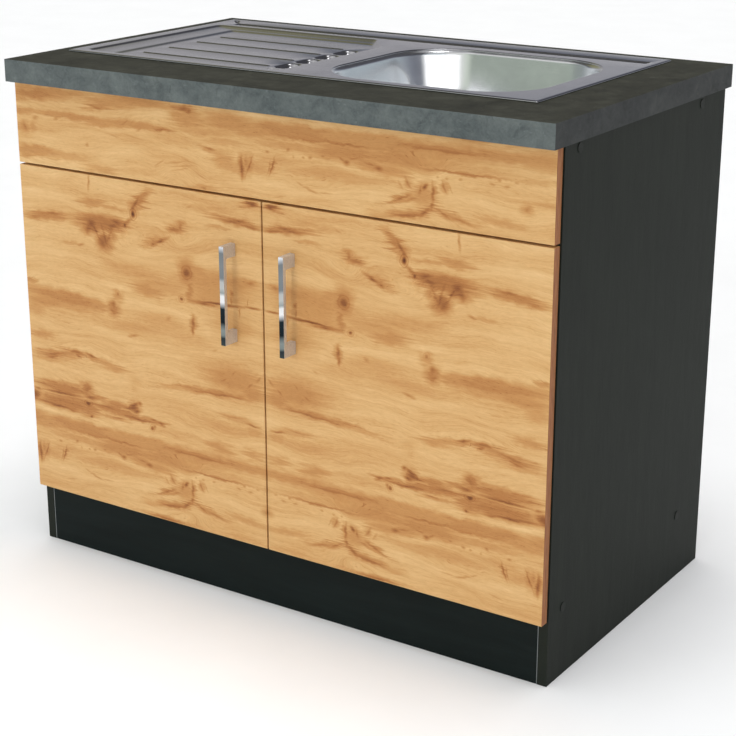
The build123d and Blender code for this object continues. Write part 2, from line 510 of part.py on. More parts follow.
cups, cscr, cpins, plates, arms, pscr, ascr, apins, olinks, ilinks, dpins = [], [], [], [], [], [], [], [], [], [], []
for z in HINGE_Z:
    # cup: drawn shell in the door's bore with a flange on the door's back
    c = cyl((CUP_X, FRONT_Y1, z), (0, -1, 0), CUP_R - 0.1, CUP_DEPTH)
    fla = box(CUP_X - 15.0, CUP_X + 3.0, FRONT_Y1, FRONT_Y1 + 1.0, z - 28, z + 28)
    fla = fla + cyl((CUP_X, FRONT_Y1, z), (0, 1, 0), CUP_R + 2.0, 1.0)
    fla = fla & box(CUP_X - 30, CUP_X + 17.8, FRONT_Y1, FRONT_Y1 + 1.0, z - 40, z + 40)
    c = c + fla
    c -= cyl((CUP_X, FRONT_Y1 + 2, z), (0, -1, 0), CUP_R - 0.9, CUP_DEPTH + 2 - 0.9)
    q = uv(PIV_C, z - 20)
    c -= cyl(q, (0, 0, 1), PIN_R, 40)
    c -= box(CUP_X + 13.5, CUP_X + 19.0, FRONT_Y1 - 1.4, FRONT_Y1 + 1.2, z - 7.2, z + 7.2)     # notch for the outer link at full opening
    for s in (-1, 1):
        c -= cyl((CUP_X - 9.5, FRONT_Y1 - 1, z + s * 22.5), (0, 1, 0), 1.9, 4)
        cscr.append(cyl((CUP_X - 9.5, FRONT_Y1 + 1.0, z + s * 22.5), (0, 1, 0), 3.4, 1.4) + cyl((CUP_X - 9.5, FRONT_Y1 + 1.0, z + s * 22.5), (0, -1, 0), 1.6, 12.0))
    cups.append(c)
    hc = sqrt((CUP_R - 0.1) ** 2 - (INNER + PIV_C[0] - CUP_X + PIN_R) ** 2)
    cpins.append(cyl(uv(PIV_C, z - hc + 0.3), (0, 0, 1), PIN_R, 2 * hc - 0.6))
    # outer links: two cranked plates; inner link: one bar between them
    for s in (-1, 1):
        z0, z1 = (z + 4.9, z + 6.3) if s > 0 else (z - 6.3, z - 4.9)
        L1 = bar([PIV_A] + CRANK + [PIV_C], 3.0, z0, z1) + disc(PIV_A, 2.3, z0, z1) + disc(PIV_C, 2.3, z0, z1)
        L1 -= disc(PIV_A, EYE_R, z0 - 1, z1 + 1)
        L1 -= disc(PIV_C, EYE_R, z0 - 1, z1 + 1)
        olinks.append(L1)
    L2 = bar([PIV_B, PIV_D], 4.4, z - 4.2, z + 4.2)
    L2 -= disc(PIV_B, EYE_R, z - 6, z + 6)
    L2 -= disc(PIV_D, PIN_R, z - 6, z + 6)
    ilinks.append(L2)
    dpins.append(disc(PIV_D, PIN_R, z - 4.6, z + 4.6))
    # arm: two side plates and a web, carrying pivots A and B
    sides = None
    for s in (-1, 1):
        z0, z1 = (z + 7.0, z + 8.2) if s > 0 else (z - 8.2, z - 7.0)
        pl = make_face(Polyline(*[uv(p, z0) for p in [(-3.6, 11.6), (-3.6, 7.4), (-15.6, -6.4), (-19.0, -6.4), (-20.4, -4.6), (-20.4, 64.0), (-8.2, 64.0), (-8.2, 14.0)]], close=True))
        e = extrude(pl, z1 - z0) if extrude(pl, z1 - z0).bounding_box().min.Z > z0 - 0.01 else extrude(pl, -(z1 - z0))
        sides = e if sides is None else sides + e
    u0 = INNER - 20.4
    web = box(u0, u0 + 1.2, CASE_Y0 + 16.0, CASE_Y0 + 64.0, z - 8.2, z + 8.2)
    arm = sides + web
    arm -= disc(PIV_A, PIN_R, z - 10, z + 10)
    arm -= disc(PIV_B, PIN_R, z - 10, z + 10)
    arm -= cyl((u0 - 1, HINGE_PLATE_Y, z), (1, 0, 0), 3.05, 3)
    arms.append(arm)
    apins.append(disc(PIV_A, PIN_R, z - 8.6, z + 8.6))
    apins.append(disc(PIV_B, PIN_R, z - 8.6, z + 8.6))
    # mounting plate on the side panel, with a riser that the arm is clamped on
    mp = box(INNER - 2.4, INNER, HINGE_PLATE_Y - 9, HINGE_PLATE_Y + 9, z - 24, z + 24)
    mp += box(INNER - 19.2, INNER - 2.4, HINGE_PLATE_Y - 14, HINGE_PLATE_Y + 14, z - 6.8, z + 6.8)
    mp -= cyl((INNER - 20, HINGE_PLATE_Y, z), (1, 0, 0), 2.5, 16)
    for s in (-1, 1):
        mp -= cyl((INNER - 3, HINGE_PLATE_Y, z + s * 16), (1, 0, 0), 2.5, 4)
        pscr.append(cyl((INNER - 2.4, HINGE_PLATE_Y, z + s * 16), (-1, 0, 0), 4.2, 1.6) + cyl((INNER - 2.4, HINGE_PLATE_Y, z + s * 16), (1, 0, 0), 2.5, 13.4))
    plates.append(mp)
    ascr.append(cyl((u0, HINGE_PLATE_Y, z), (-1, 0, 0), 4.6, 1.8) + cyl((u0, HINGE_PLATE_Y, z), (1, 0, 0), 2.5, 15.0))

# handle: a chrome strap bent out from two feet
h0, h1 = HANDLE_Z0, HANDLE_Z1
yf = FRONT_Y0
HB, HL = HANDLE_BAR, HANDLE_LEG
prof = Polyline((0, yf, h0), (0, yf - HANDLE_OUT, h0), (0, yf - HANDLE_OUT, h1), (0, yf, h1),
                (0, yf, h1 - HL), (0, yf - HANDLE_OUT + HB + 2.0, h1 - HL), (0, yf - HANDLE_OUT + HB, h1 - HL - 2.0), (0, yf - HANDLE_OUT + HB, h0 + HL + 2.0), (0, yf - HANDLE_OUT + HB + 2.0, h0 + HL), (0, yf, h0 + HL), close=True)
hf = make_face(prof)
hs = extrude(hf, HANDLE_W)
bb = hs.bounding_box()
hs = Pos(HANDLE_X - (bb.min.X + bb.max.X) / 2, 0, 0) * hs
for z in (h0 + 10.0, h1 - 10.0):
    hs -= cyl((HANDLE_X, yf + 1, z), (0, -1, 0), 1.9, 11.0)
try:
    hs2 = fillet([e for e in hs.edges() if e.bounding_box().max.Y < yf - 0.5 and abs(e.bounding_box().max.X - e.bounding_box().min.X) < 1e-3 and abs(abs(e.bounding_box().min.X - HANDLE_X) - HANDLE_W / 2) < 1e-3], 1.0)
    if hs2.is_valid:
        hs = hs2
except Exception as ex:
    print("handle fillet", ex)
hscr = []
for z in (h0 + 10.0, h1 - 10.0):
    hscr.append(cyl((HANDLE_X, FRONT_Y1, z), (0, 1, 0), 4.0, 1.5) + cyl((HANDLE_X, FRONT_Y1, z), (0, -1, 0), 1.9, BOARD + 9.0))
bump = [cyl((x, FRONT_Y1, z), (0, 1, 0), 4.0, 1.6) for (x, z) in ((12.0, DOOR_Z0 + 8.0), (489.0, DOOR_Z1 - 10.0))]
dr = door()

for side in ("left", "right"):
    f = (lambda s: s) if side == "right" else mirror_x
    put("door_" + side, f(dr))
    put("hinge_cups_" + side, [f(s) for s in cups + cpins])
    put("hinge_cup_screws_" + side, [f(s) for s in cscr])
    put("handle_" + side, f(hs))
    put("handle_screws_" + side, [f(s) for s in hscr])
    put("door_bumpers_" + side, [f(s) for s in bump])
    put("hinge_outer_links_" + side, [f(s) for s in olinks])
    put("hinge_inner_links_" + side, [f(s) for s in ilinks + dpins])
put("hinge_plates", plates + [mirror_x(s) for s in plates])
put("hinge_arms", arms + [mirror_x(s) for s in arms])
put("hinge_screws", pscr + ascr + [mirror_x(s) for s in pscr + ascr])
put("hinge_arm_pins", apins + [mirror_x(s) for s in apins])

for d in done:
    print("%-26s %3d %12.1f" % d)
print("nodes", len(set(d[0] for d in done)))
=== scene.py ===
import bpy, bmesh, math, json
from mathutils import Vector, Matrix


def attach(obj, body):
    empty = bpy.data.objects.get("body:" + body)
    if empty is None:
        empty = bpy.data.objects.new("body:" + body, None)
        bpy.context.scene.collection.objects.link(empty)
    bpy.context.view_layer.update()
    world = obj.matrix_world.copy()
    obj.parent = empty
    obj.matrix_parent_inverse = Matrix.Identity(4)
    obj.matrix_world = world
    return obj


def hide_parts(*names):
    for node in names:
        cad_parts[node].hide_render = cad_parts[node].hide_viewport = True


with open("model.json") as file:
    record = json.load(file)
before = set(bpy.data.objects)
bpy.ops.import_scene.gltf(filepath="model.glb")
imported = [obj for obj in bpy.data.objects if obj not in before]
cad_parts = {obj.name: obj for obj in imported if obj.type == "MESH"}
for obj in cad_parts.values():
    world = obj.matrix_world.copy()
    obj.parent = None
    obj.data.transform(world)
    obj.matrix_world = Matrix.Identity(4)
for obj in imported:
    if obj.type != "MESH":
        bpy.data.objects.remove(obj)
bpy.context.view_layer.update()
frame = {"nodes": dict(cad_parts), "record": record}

N = frame["nodes"]
SH = 0.293            # the worktop's front edge lies at y = -SH


def P(x, y, z):
    """Millimetres measured from the worktop's front edge to metres in the part's frame."""
    return Vector((x / 1000.0, y / 1000.0 - SH, z / 1000.0))


def lin(r, g, b, a=1.0):
    """8-bit display colour to linear."""
    def f(c):
        c /= 255.0
        return c / 12.92 if c <= 0.04045 else ((c + 0.055) / 1.055) ** 2.4
    return (f(r), f(g), f(b), a)


# ------------------------------------------------------------------ camera
cam_data = bpy.data.cameras.new("camera")
cam = bpy.data.objects.new("camera", cam_data)
bpy.context.scene.collection.objects.link(cam)
bpy.context.scene.camera = cam
CAM_AT = P(1573.0, -2072.0, 1293.0)
YAW, PITCH = math.radians(-33.47), math.radians(-18.64)
direction = Vector((math.sin(YAW) * math.cos(PITCH), math.cos(YAW) * math.cos(PITCH), math.sin(PITCH)))
cam.location = CAM_AT
cam.rotation_mode = "QUATERNION"
cam.rotation_quaternion = direction.to_track_quat("-Z", "Y")
cam_data.sensor_width = 36.0
cam_data.lens = 1776.0 / 736.0 * 36.0
cam_data.clip_start, cam_data.clip_end = 0.05, 60.0


# ------------------------------------------------------------------ materials
class Mat:
    def __init__(self, name):
        self.m = bpy.data.materials.new(name)
        self.m.use_nodes = True
        self.t = self.m.node_tree
        self.t.nodes.clear()
        self.out = self.t.nodes.new("ShaderNodeOutputMaterial")
        self.b = self.t.nodes.new("ShaderNodeBsdfPrincipled")
        self.t.links.new(self.b.outputs[0], self.out.inputs[0])
        self._obj = None

    def link(self, a, b):
        self.t.links.new(a, b)

    def put(self, sock, v):
        if hasattr(v, "is_output") or isinstance(v, bpy.types.NodeSocket):
            self.link(v, sock)
        else:
            sock.default_value = v

    def set(self, **k):
        for n, v in k.items():
            self.put(self.b.inputs[n.replace("_", " ")], v)

    def pos(self):
        if self._obj is None:
            tc = self.t.nodes.new("ShaderNodeTexCoord")
            self._obj = self.vm("SCALE", tc.outputs["Object"], scale=1000.0)
        return self._obj

    def xyz(self, v=None):
        s = self.t.nodes.new("ShaderNodeSeparateXYZ")
        self.link(v if v is not None else self.pos(), s.inputs[0])
        return s.outputs[0], s.outputs[1], s.outputs[2]

    def comb(self, x, y, z):
        c = self.t.nodes.new("ShaderNodeCombineXYZ")
        for i, v in enumerate((x, y, z)):
            self.put(c.inputs[i], v)
        return c.outputs[0]

    def m_(self, op, a, b=None, c=None, clamp=False):
        n = self.t.nodes.new("ShaderNodeMath")
        n.operation = op
        n.use_clamp = clamp
        for i, v in enumerate((a, b, c)):
            if v is not None:
                self.put(n.inputs[i], v)
        return n.outputs[0]

    def vm(self, op, a, b=None, scale=None):
        n = self.t.nodes.new("ShaderNodeVectorMath")
        n.operation = op
        self.put(n.inputs[0], a)
        if b is not None:
            self.put(n.inputs[1], b)
        if scale is not None:
            n.inputs["Scale"].default_value = scale
        return n.outputs["Value"] if op in ("LENGTH", "DOT_PRODUCT", "DISTANCE") else n.outputs[0]

    def noise(self, vec, scale=1.0, detail=3.0, rough=0.5, dist=0.0, color=False):
        n = self.t.nodes.new("ShaderNodeTexNoise")
        self.put(n.inputs["Vector"], vec)
        n.inputs["Scale"].default_value = scale
        n.inputs["Detail"].default_value = detail
        n.inputs["Roughness"].default_value = rough
        n.inputs["Distortion"].default_value = dist
        return n.outputs["Color"] if color else n.outputs["Fac"]

    def voronoi(self, vec, scale=1.0, rand=1.0, feature="F1"):
        n = self.t.nodes.new("ShaderNodeTexVoronoi")
        n.feature = feature
        self.put(n.inputs["Vector"], vec)
        n.inputs["Scale"].default_value = scale
        n.inputs["Randomness"].default_value = rand
        return n.outputs["Distance"]

    def mapr(self, v, a, b, c=0.0, d=1.0, smooth=False):
        n = self.t.nodes.new("ShaderNodeMapRange")
        n.interpolation_type = "SMOOTHSTEP" if smooth else "LINEAR"
        n.clamp = True
        self.put(n.inputs["Value"], v)
        n.inputs["From Min"].default_value = a
        n.inputs["From Max"].default_value = b
        n.inputs["To Min"].default_value = c
        n.inputs["To Max"].default_value = d
        return n.outputs[0]

    def ramp(self, f, stops, ease=False):
        n = self.t.nodes.new("ShaderNodeValToRGB")
        n.color_ramp.interpolation = "EASE" if ease else "LINEAR"
        e = n.color_ramp.elements
        while len(e) < len(stops):
            e.new(0.5)
        for i, (p, c) in enumerate(stops):
            e[i].position = p
            e[i].color = c
        self.put(n.inputs[0], f)
        return n.outputs[0]

    def mix(self, f, a, b, blend="MIX"):
        n = self.t.nodes.new("ShaderNodeMix")
        n.data_type = "RGBA"
        n.blend_type = blend
        self.put(n.inputs["Factor"], f)
        self.put(n.inputs[6], a)
        self.put(n.inputs[7], b)
        return n.outputs[2]

    def mapping(self, v, loc=(0, 0, 0), rot=(0, 0, 0), scale=(1, 1, 1), kind="POINT"):
        n = self.t.nodes.new("ShaderNodeMapping")
        n.vector_type = kind
        self.put(n.inputs["Vector"], v)
        n.inputs["Location"].default_value = loc
        n.inputs["Rotation"].default_value = rot
        n.inputs["Scale"].default_value = scale
        return n.outputs[0]

    def bump(self, h, strength=0.3, dist=0.001, normal=None):
        n = self.t.nodes.new("ShaderNodeBump")
        n.inputs["Strength"].default_value = strength
        n.inputs["Distance"].default_value = dist
        self.put(n.inputs["Height"], h)
        if normal is not None:
            self.put(n.inputs["Normal"], normal)
        return n.outputs[0]


def cone(M, vec, u, v, a, b, tilt=0.0):
    """Ellipse at (u, v) with half axes a, b, turned by tilt degrees: 1 in the middle, falling evenly to 0 at its edge."""
    n = M.t.nodes.new("ShaderNodeTexGradient")
    n.gradient_type = "SPHERICAL"
    t = n.texture_mapping
    t.vector_type = "TEXTURE"
    t.translation = (u, v, 0.0)
    t.rotation = (0.0, 0.0, math.radians(tilt))
    t.scale = (a, b, 10000.0)
    M.link(vec, n.inputs[0])
    return n.outputs["Fac"]


def spots(M, vec, items, grow_a=1.0, grow_b=1.0, plateau=None):
    """The strongest of many ellipses (u, v, a, b, tilt, strength) at each point."""
    acc = None
    for (u, v, a, b, tilt, s) in items:
        f = cone(M, vec, u, v, a * grow_a, b * grow_b, tilt)
        if plateau:
            f = M.m_("MINIMUM", M.m_("MULTIPLY", f, s / plateau), s)
        else:
            f = M.m_("MULTIPLY", f, s)
        acc = f if acc is None else M.m_("MAXIMUM", acc, f)
    return acc


def oak(name, upper=False):
    """Wild-oak decor with the grain along x. Both doors carry it mirrored about the middle, the upper panel carries it shifted."""
    M = Mat(name)
    x, y, z = M.xyz()
    if upper:
        a = M.m_("SUBTRACT", 453.0, x)
        v0 = M.m_("SUBTRACT", z, 555.0)
        keep = lambda items: [t for t in items if 112 < t[1] + t[3] and t[1] - t[3] < 270]
    else:
        a = M.m_("ABSOLUTE", x)
        v0 = z
        keep = lambda items: [t for t in items if t[0] - t[2] < 510]
    flat = M.comb(a, v0, 0.0)

    def nz(sx, sy, detail, rough, at=(0.0, 0.0), vec=None, dist=0.0):
        return M.noise(M.mapping(flat if vec is None else vec, loc=(at[0], at[1], 0.0), scale=(sx, sy, 1.0)), 1.0, detail, rough, dist)

    def sub5(n, amt):
        return M.m_("MULTIPLY_ADD", n, amt, -0.5 * amt)

    # slow waves carry the grain up and down, and it swings round each knot
    v = M.m_("ADD", v0, M.m_("ADD", sub5(nz(0.0040, 0.010, 1.0, 0.5), 52.0), sub5(nz(0.014, 0.030, 2.0, 0.55, (7.3, 2.1)), 16.0)))
    for (ka, kv, ra, rb, amt) in OAK_SWINGS:
        v = M.m_("MULTIPLY_ADD", M.mapr(cone(M, flat, ka, kv, ra, rb), 0.0, 1.0, smooth=True), amt, v)
    g = M.comb(a, v, 0.0)
    # fibres pull the ends of every streak out along the grain
    fib = nz(0.006, 0.26, 2.0, 0.6, (2.0, 5.0))
    wob = nz(0.040, 0.075, 2.0, 0.6, (11.0, 3.0))
    soft = M.comb(M.m_("ADD", a, sub5(fib, 86.0)), M.m_("ADD", v0, sub5(wob, 14.0)), 0.0)
    tight = M.comb(M.m_("ADD", a, sub5(nz(0.05, 0.09, 1.0, 0.5, (21.0, 6.0)), 6.0)), M.m_("ADD", v0, sub5(wob, 6.0)), 0.0)
    # base tone from several scales of grain
    broad = M.noise(M.mapping(g, scale=(0.0028, 0.026, 1.0)), 1.0, 2.0, 0.5)
    mid = M.noise(M.mapping(g, loc=(3.0, 1.0, 0), scale=(0.0075, 0.100, 1.0)), 1.0, 3.0, 0.6)
    fine = M.noise(M.mapping(g, loc=(5.0, 2.0, 0), scale=(0.022, 0.46, 1.0)), 1.0, 2.0, 0.6)
    hair = M.noise(M.mapping(g, loc=(8.0, 4.0, 0), scale=(0.060, 1.6, 1.0)), 1.0, 1.0, 0.6)
    tone = M.m_("ADD", M.m_("MULTIPLY", broad, 0.46), M.m_("ADD", M.m_("MULTIPLY", mid, 0.32), M.m_("MULTIPLY", fine, 0.22)))
    D = M.mapr(tone, 0.34, 0.66, 0.05, 0.45)
    # thin growth lines here and there
    ln = M.m_("ABSOLUTE", M.m_("SINE", M.m_("ADD", M.m_("MULTIPLY", v, 0.42), M.m_("MULTIPLY", mid, 9.0))))
    lmask = M.mapr(nz(0.010, 0.030, 1.0, 0.5, (31.0, 7.0)), 0.50, 0.68, 0.0, 0.12, smooth=True)
    D = M.m_("ADD", D, M.m_("MULTIPLY", M.mapr(ln, 0.30, 0.0, smooth=True), lmask))
    mott = M.noise(M.mapping(g, loc=(14.0, 6.0, 0), scale=(0.085, 0.42, 1.0)), 1.0, 3.0, 0.7)
    D = M.m_("ADD", D, sub5(mott, 0.30))
    # broad soft streaks
    long_ones = [t for t in keep(OAK_STREAKS) if t[2] >= 21.0]
    short_ones = [t for t in keep(OAK_STREAKS) if t[2] < 21.0]
    mild = M.comb(M.m_("ADD", a, M.m_("ADD", sub5(fib, 20.0), sub5(nz(0.05, 0.09, 1.0, 0.5, (21.0, 6.0)), 16.0))), M.m_("ADD", v0, sub5(wob, 18.0)), 0.0)
    acc = M.m_("MAXIMUM", spots(M, soft, long_ones, 1.22, 1.55, 0.62), spots(M, mild, short_ones, 1.35, 1.45, 0.7))
    acc = M.m_("MULTIPLY", acc, M.mapr(M.m_("ADD", M.m_("MULTIPLY", fine, 0.55), M.m_("MULTIPLY", mid, 0.45)), 0.36, 0.64, 1.24, 0.80))
    D = M.m_("ADD", D, M.m_("MULTIPLY", M.m_("SUBTRACT", 1.0, D), acc))
    # narrow dark lines, cracks and flecks, with one painted shadow spot beside the handle bar
    acc = spots(M, tight, keep(OAK_LINES), 1.15, 1.9)
    D = M.m_("ADD", D, M.m_("MULTIPLY", M.m_("SUBTRACT", 1.0, D), M.m_("MULTIPLY", acc, M.mapr(fine, 0.3, 0.7, 1.15, 0.85))))
    # knots with a pale collar and rings
    for (ka, kv, ra, rb, tilt, s) in keep(OAK_KNOTS):
        d = M.m_("MULTIPLY_ADD", cone(M, tight, ka, kv, ra * 2.7, rb * 2.7, tilt), -2.7, 2.7)
        core = M.mapr(d, 1.15, 0.15, smooth=True)
        ring = M.m_("MULTIPLY", M.mapr(M.m_("SINE", M.m_("MULTIPLY", d, 6.5)), 0.1, 0.9), M.mapr(d, 2.6, 1.0, 0.0, 0.30, smooth=True))
        kk = M.m_("MULTIPLY", M.m_("MAXIMUM", core, ring), s)
        D = M.m_("ADD", D, M.m_("MULTIPLY", M.m_("SUBTRACT", 1.0, D), kk))
    # pale places
    D = M.m_("SUBTRACT", D, spots(M, soft, keep(OAK_PALE), 1.1, 1.4))
    # pores: short dark dashes along the grain
    po = M.noise(M.mapping(g, loc=(20.0, 0, 0), scale=(0.09, 1.5, 1.0)), 1.0, 1.0, 0.7)
    D = M.m_("ADD", D, M.mapr(po, 0.62, 0.74, 0.0, 0.20, smooth=True))
    col = M.ramp(D, [(0.0, lin(230, 191, 136)), (0.18, lin(220, 178, 121)), (0.34, lin(209, 162, 104)), (0.50, lin(197, 144, 86)), (0.68, lin(177, 118, 64)), (0.84, lin(143, 86, 43)), (1.0, lin(94, 50, 22))])
    hl = M.mapr(hair, 0.25, 0.75, 0.955, 1.045)
    col = M.mix(1.0, col, M.comb(hl, hl, hl), "MULTIPLY")
    # the end bands are a browner edge tape
    tape = M.mapr(M.m_("ABSOLUTE", x), 495.70, 495.82, 0.0, 1.0)
    col = M.mix(tape, col, M.ramp(M.noise(M.comb(M.m_("MULTIPLY", y, 0.6), M.m_("MULTIPLY", z, 0.03), 3.0), 1.0, 2.0, 0.6), [(0.3, lin(134, 82, 46)), (0.5, lin(160, 102, 60)), (0.7, lin(178, 118, 72))]))
    M.set(Base_Color=col, Roughness=M.mapr(fine, 0.2, 0.8, 0.50, 0.62))
    M.b.inputs["Specular IOR Level"].default_value = 0.30
    grain = M.noise(M.comb(M.m_("MULTIPLY", x, 0.05), M.m_("MULTIPLY", z, 1.4), 8.0), 1.0, 2.0, 0.6)
    M.set(Normal=M.bump(grain, 0.18, 0.0006))
    return M.m


# (a, v, half length, half height, tilt, strength) in mm: a from the cabinet's middle outwards, v from the floor
OAK_STREAKS = [
    # fan above the upper knot and the large cluster beside it
    (236, 648, 30, 9, -50, 0.50), (252, 634, 12, 12, -50, 0.42), (327, 598, 58, 15, 0, 0.58), (340, 593, 20, 15, 0, 0.62), (296, 602, 30, 11, 8, 0.56), (318, 571, 20, 18, 0, 0.60), (354, 588, 16, 13, -30, 0.46), (304, 586, 18, 14, 30, 0.46),
    (441, 597, 56, 8, -6, 0.48), (470, 592, 36, 5, 0, 0.34), (343, 631, 30, 7, -4, 0.38), (300, 628, 40, 3.5, 3, 0.30), (392, 556, 34, 3, 0, 0.26),
    (169, 611, 26, 7, -4, 0.40), (158, 621, 10, 6, 0, 0.34), (215, 582, 26, 7, -24, 0.32),
    (52, 638, 56, 6.0, 2, 0.50), (20, 670, 22, 4.5, 0, 0.58), (78, 626, 30, 3, 0, 0.30), (96, 652, 50, 5, 0, 0.18),
    # ring knot and the field to its right, down to the crack
    (148, 545, 20, 21, 0, 0.50), (150, 556, 16, 7, 0, 0.40), (128, 548, 24, 8, 0, 0.34), (84, 533, 84, 21, 0, 0.32), (30, 545, 24, 6, 0, 0.30), (96, 512, 64, 12, 0, 0.34), (143, 515, 8, 16, 0, 0.46),
    (234, 502, 38, 11, 0, 0.36), (228, 495, 26, 5, 0, 0.30), (200, 512, 60, 9, 0, 0.24), (270, 528, 70, 10, 0, 0.16),
    (294, 480, 14, 13, 0, 0.34), (305, 460, 15, 14, 0, 0.48), (343, 459, 34, 9, 2, 0.36), (414, 461, 108, 12, 1, 0.46), (450, 448, 60, 8, 0, 0.34), (486, 478, 14, 5, 0, 0.40), (390, 446, 60, 6, 2, 0.24),
    (196, 451, 66, 14, 0, 0.22), (150, 436, 60, 14, 0, 0.18), (139, 458, 8, 17, 0, 0.42), (60, 468, 40, 26, 0, 0.18), (250, 430, 80, 12, 0, 0.18), (480, 430, 20, 16, 0, 0.20),
    # arch
    (469, 386, 30, 7, -3, 0.34), (432, 358, 62, 8, -9, 0.42), (396, 366, 34, 6, -3, 0.50), (446, 352, 30, 6, -12, 0.40), (322, 358, 46, 8, 7, 0.38), (352, 364, 26, 5, 8, 0.44), (460, 344, 40, 4, 0, 0.28),
    (58, 384, 70, 21, 0, 0.38), (24, 368, 30, 14, 0, 0.36), (106, 352, 96, 5.5, -3, 0.42), (70, 398, 80, 8, 0, 0.22), (180, 346, 60, 4, -6, 0.24), (266, 340, 14, 16, 0, 0.14),
    (52, 315, 46, 7, 4, 0.26), (60, 300, 60, 8, 0, 0.12), (22, 303, 18, 8, 0, 0.26),
    # dark double streak with its knots
    (428, 298, 78, 10, -1, 0.56), (374, 309, 16, 9, -20, 0.52), (352, 296, 30, 6, 10, 0.48), (428, 271, 76, 12, 0, 0.54), (490, 275, 14, 13, 0, 0.62), (400, 281, 80, 7, 0, 0.50), (370, 272, 26, 16, 0, 0.50),
    (306, 290, 46, 7, -4, 0.50), (270, 293, 18, 11, -14, 0.56), (296, 279, 76, 5.5, 2, 0.52), (226, 277, 24, 4.5, 0, 0.50), (318, 267, 40, 4, 0, 0.36), (262, 273, 40, 3, 0, 0.40),
    (95, 260, 28, 9, 0, 0.36), (24, 262, 24, 8, 0, 0.28), (180, 266, 60, 6, 0, 0.12),
    # the orange band and what lies under it
    (250, 236, 330, 11, 0, 0.36), (396, 236, 112, 11, 0, 0.46), (340, 227, 100, 5, 2, 0.46), (135, 237, 140, 5.5, 0, 0.48), (60, 236, 90, 9, 0, 0.34), (470, 226, 60, 8, 0, 0.36), (180, 228, 200, 9, 0, 0.30),
    (300, 213, 72, 13, 0, 0.38), (200, 215, 80, 12, 0, 0.34), (262, 200, 40, 8, 8, 0.36), (100, 215, 110, 8, 0, 0.26), (100, 207, 88, 2.6, 0, 0.40), (225, 196, 40, 9, 0, 0.34), (400, 212, 80, 5, 0, 0.22),
    (336, 181, 70, 10, 0, 0.24), (420, 184, 60, 9, 0, 0.22), (270, 176, 50, 6, -6, 0.18), (488, 172, 9, 18, 0, 0.50), (475, 176, 12, 16, 10, 0.40), (452, 178, 26, 14, 0, 0.26), (431, 179, 5, 14, 22, 0.44),
    # feather
    (168, 168, 24, 15, -30, 0.36), (206, 158, 30, 4.5, -20, 0.42), (196, 137, 50, 6, -8, 0.46), (160, 148, 22, 6.5, -42, 0.46), (150, 172, 7, 14, 10, 0.44), (190, 182, 8, 9, 0, 0.30), (132, 184, 7, 9, 0, 0.30), (232, 131, 40, 5, -2, 0.30),
    (132, 146, 24, 4.5, 20, 0.36), (104, 140, 44, 5, 8, 0.30), (46, 146, 46, 6, 0, 0.24), (60, 128, 60, 5, 0, 0.14), (205, 110, 66, 4, 0, 0.36), (360, 118, 80, 5, 0, 0.08), (40, 112, 50, 4, 0, 0.2),
    # farther out, seen on the upper panel's left half
    (512, 236, 66, 15, 0, 0.42), (590, 234, 40, 14, 0, 0.40), (600, 247, 34, 6, 0, 0.52), (610, 238, 20, 7, 0, 0.42), (690, 249, 90, 7, 0, 0.40), (776, 233, 32, 6, -6, 0.40), (740, 243, 80, 8, 0, 0.32), (905, 241, 72, 8, 0, 0.44), (860, 248, 80, 6, 0, 0.36), (940, 232, 26, 7, 0, 0.3),
    (832, 212, 130, 4.5, 0, 0.36), (704, 213, 74, 6, 0, 0.34), (644, 211, 34, 4, 0, 0.40), (556, 216, 60, 6, 0, 0.24), (520, 204, 40, 6, 0, 0.22), (770, 206, 40, 4, 0, 0.28), (934, 212, 30, 5, 0, 0.36),
    (932, 184, 13, 12, 0, 0.30), (912, 188, 8, 12, 20, 0.24), (908, 149, 66, 8, 0, 0.42), (840, 146, 66, 6, 0, 0.28), (772, 134, 46, 7, 0, 0.32), (936, 143, 30, 7, 12, 0.40), (700, 138, 60, 5, 0, 0.14),
    (548, 190, 30, 5, 12, 0.34), (523, 179, 26, 13, 8, 0.32), (500, 170, 30, 10, 0, 0.24), (622, 196, 60, 8, 0, 0.16), (700, 190, 60, 6, 0, 0.14), (570, 130, 30, 4, 0, 0.26),
    (-20, 236, 60, 12, 0, 0.30), (-8, 208, 40, 5, 0, 0.24), (0, 169, 12, 9, 0, 0.28), (-30, 180, 18, 6, 0, 0.20),
]
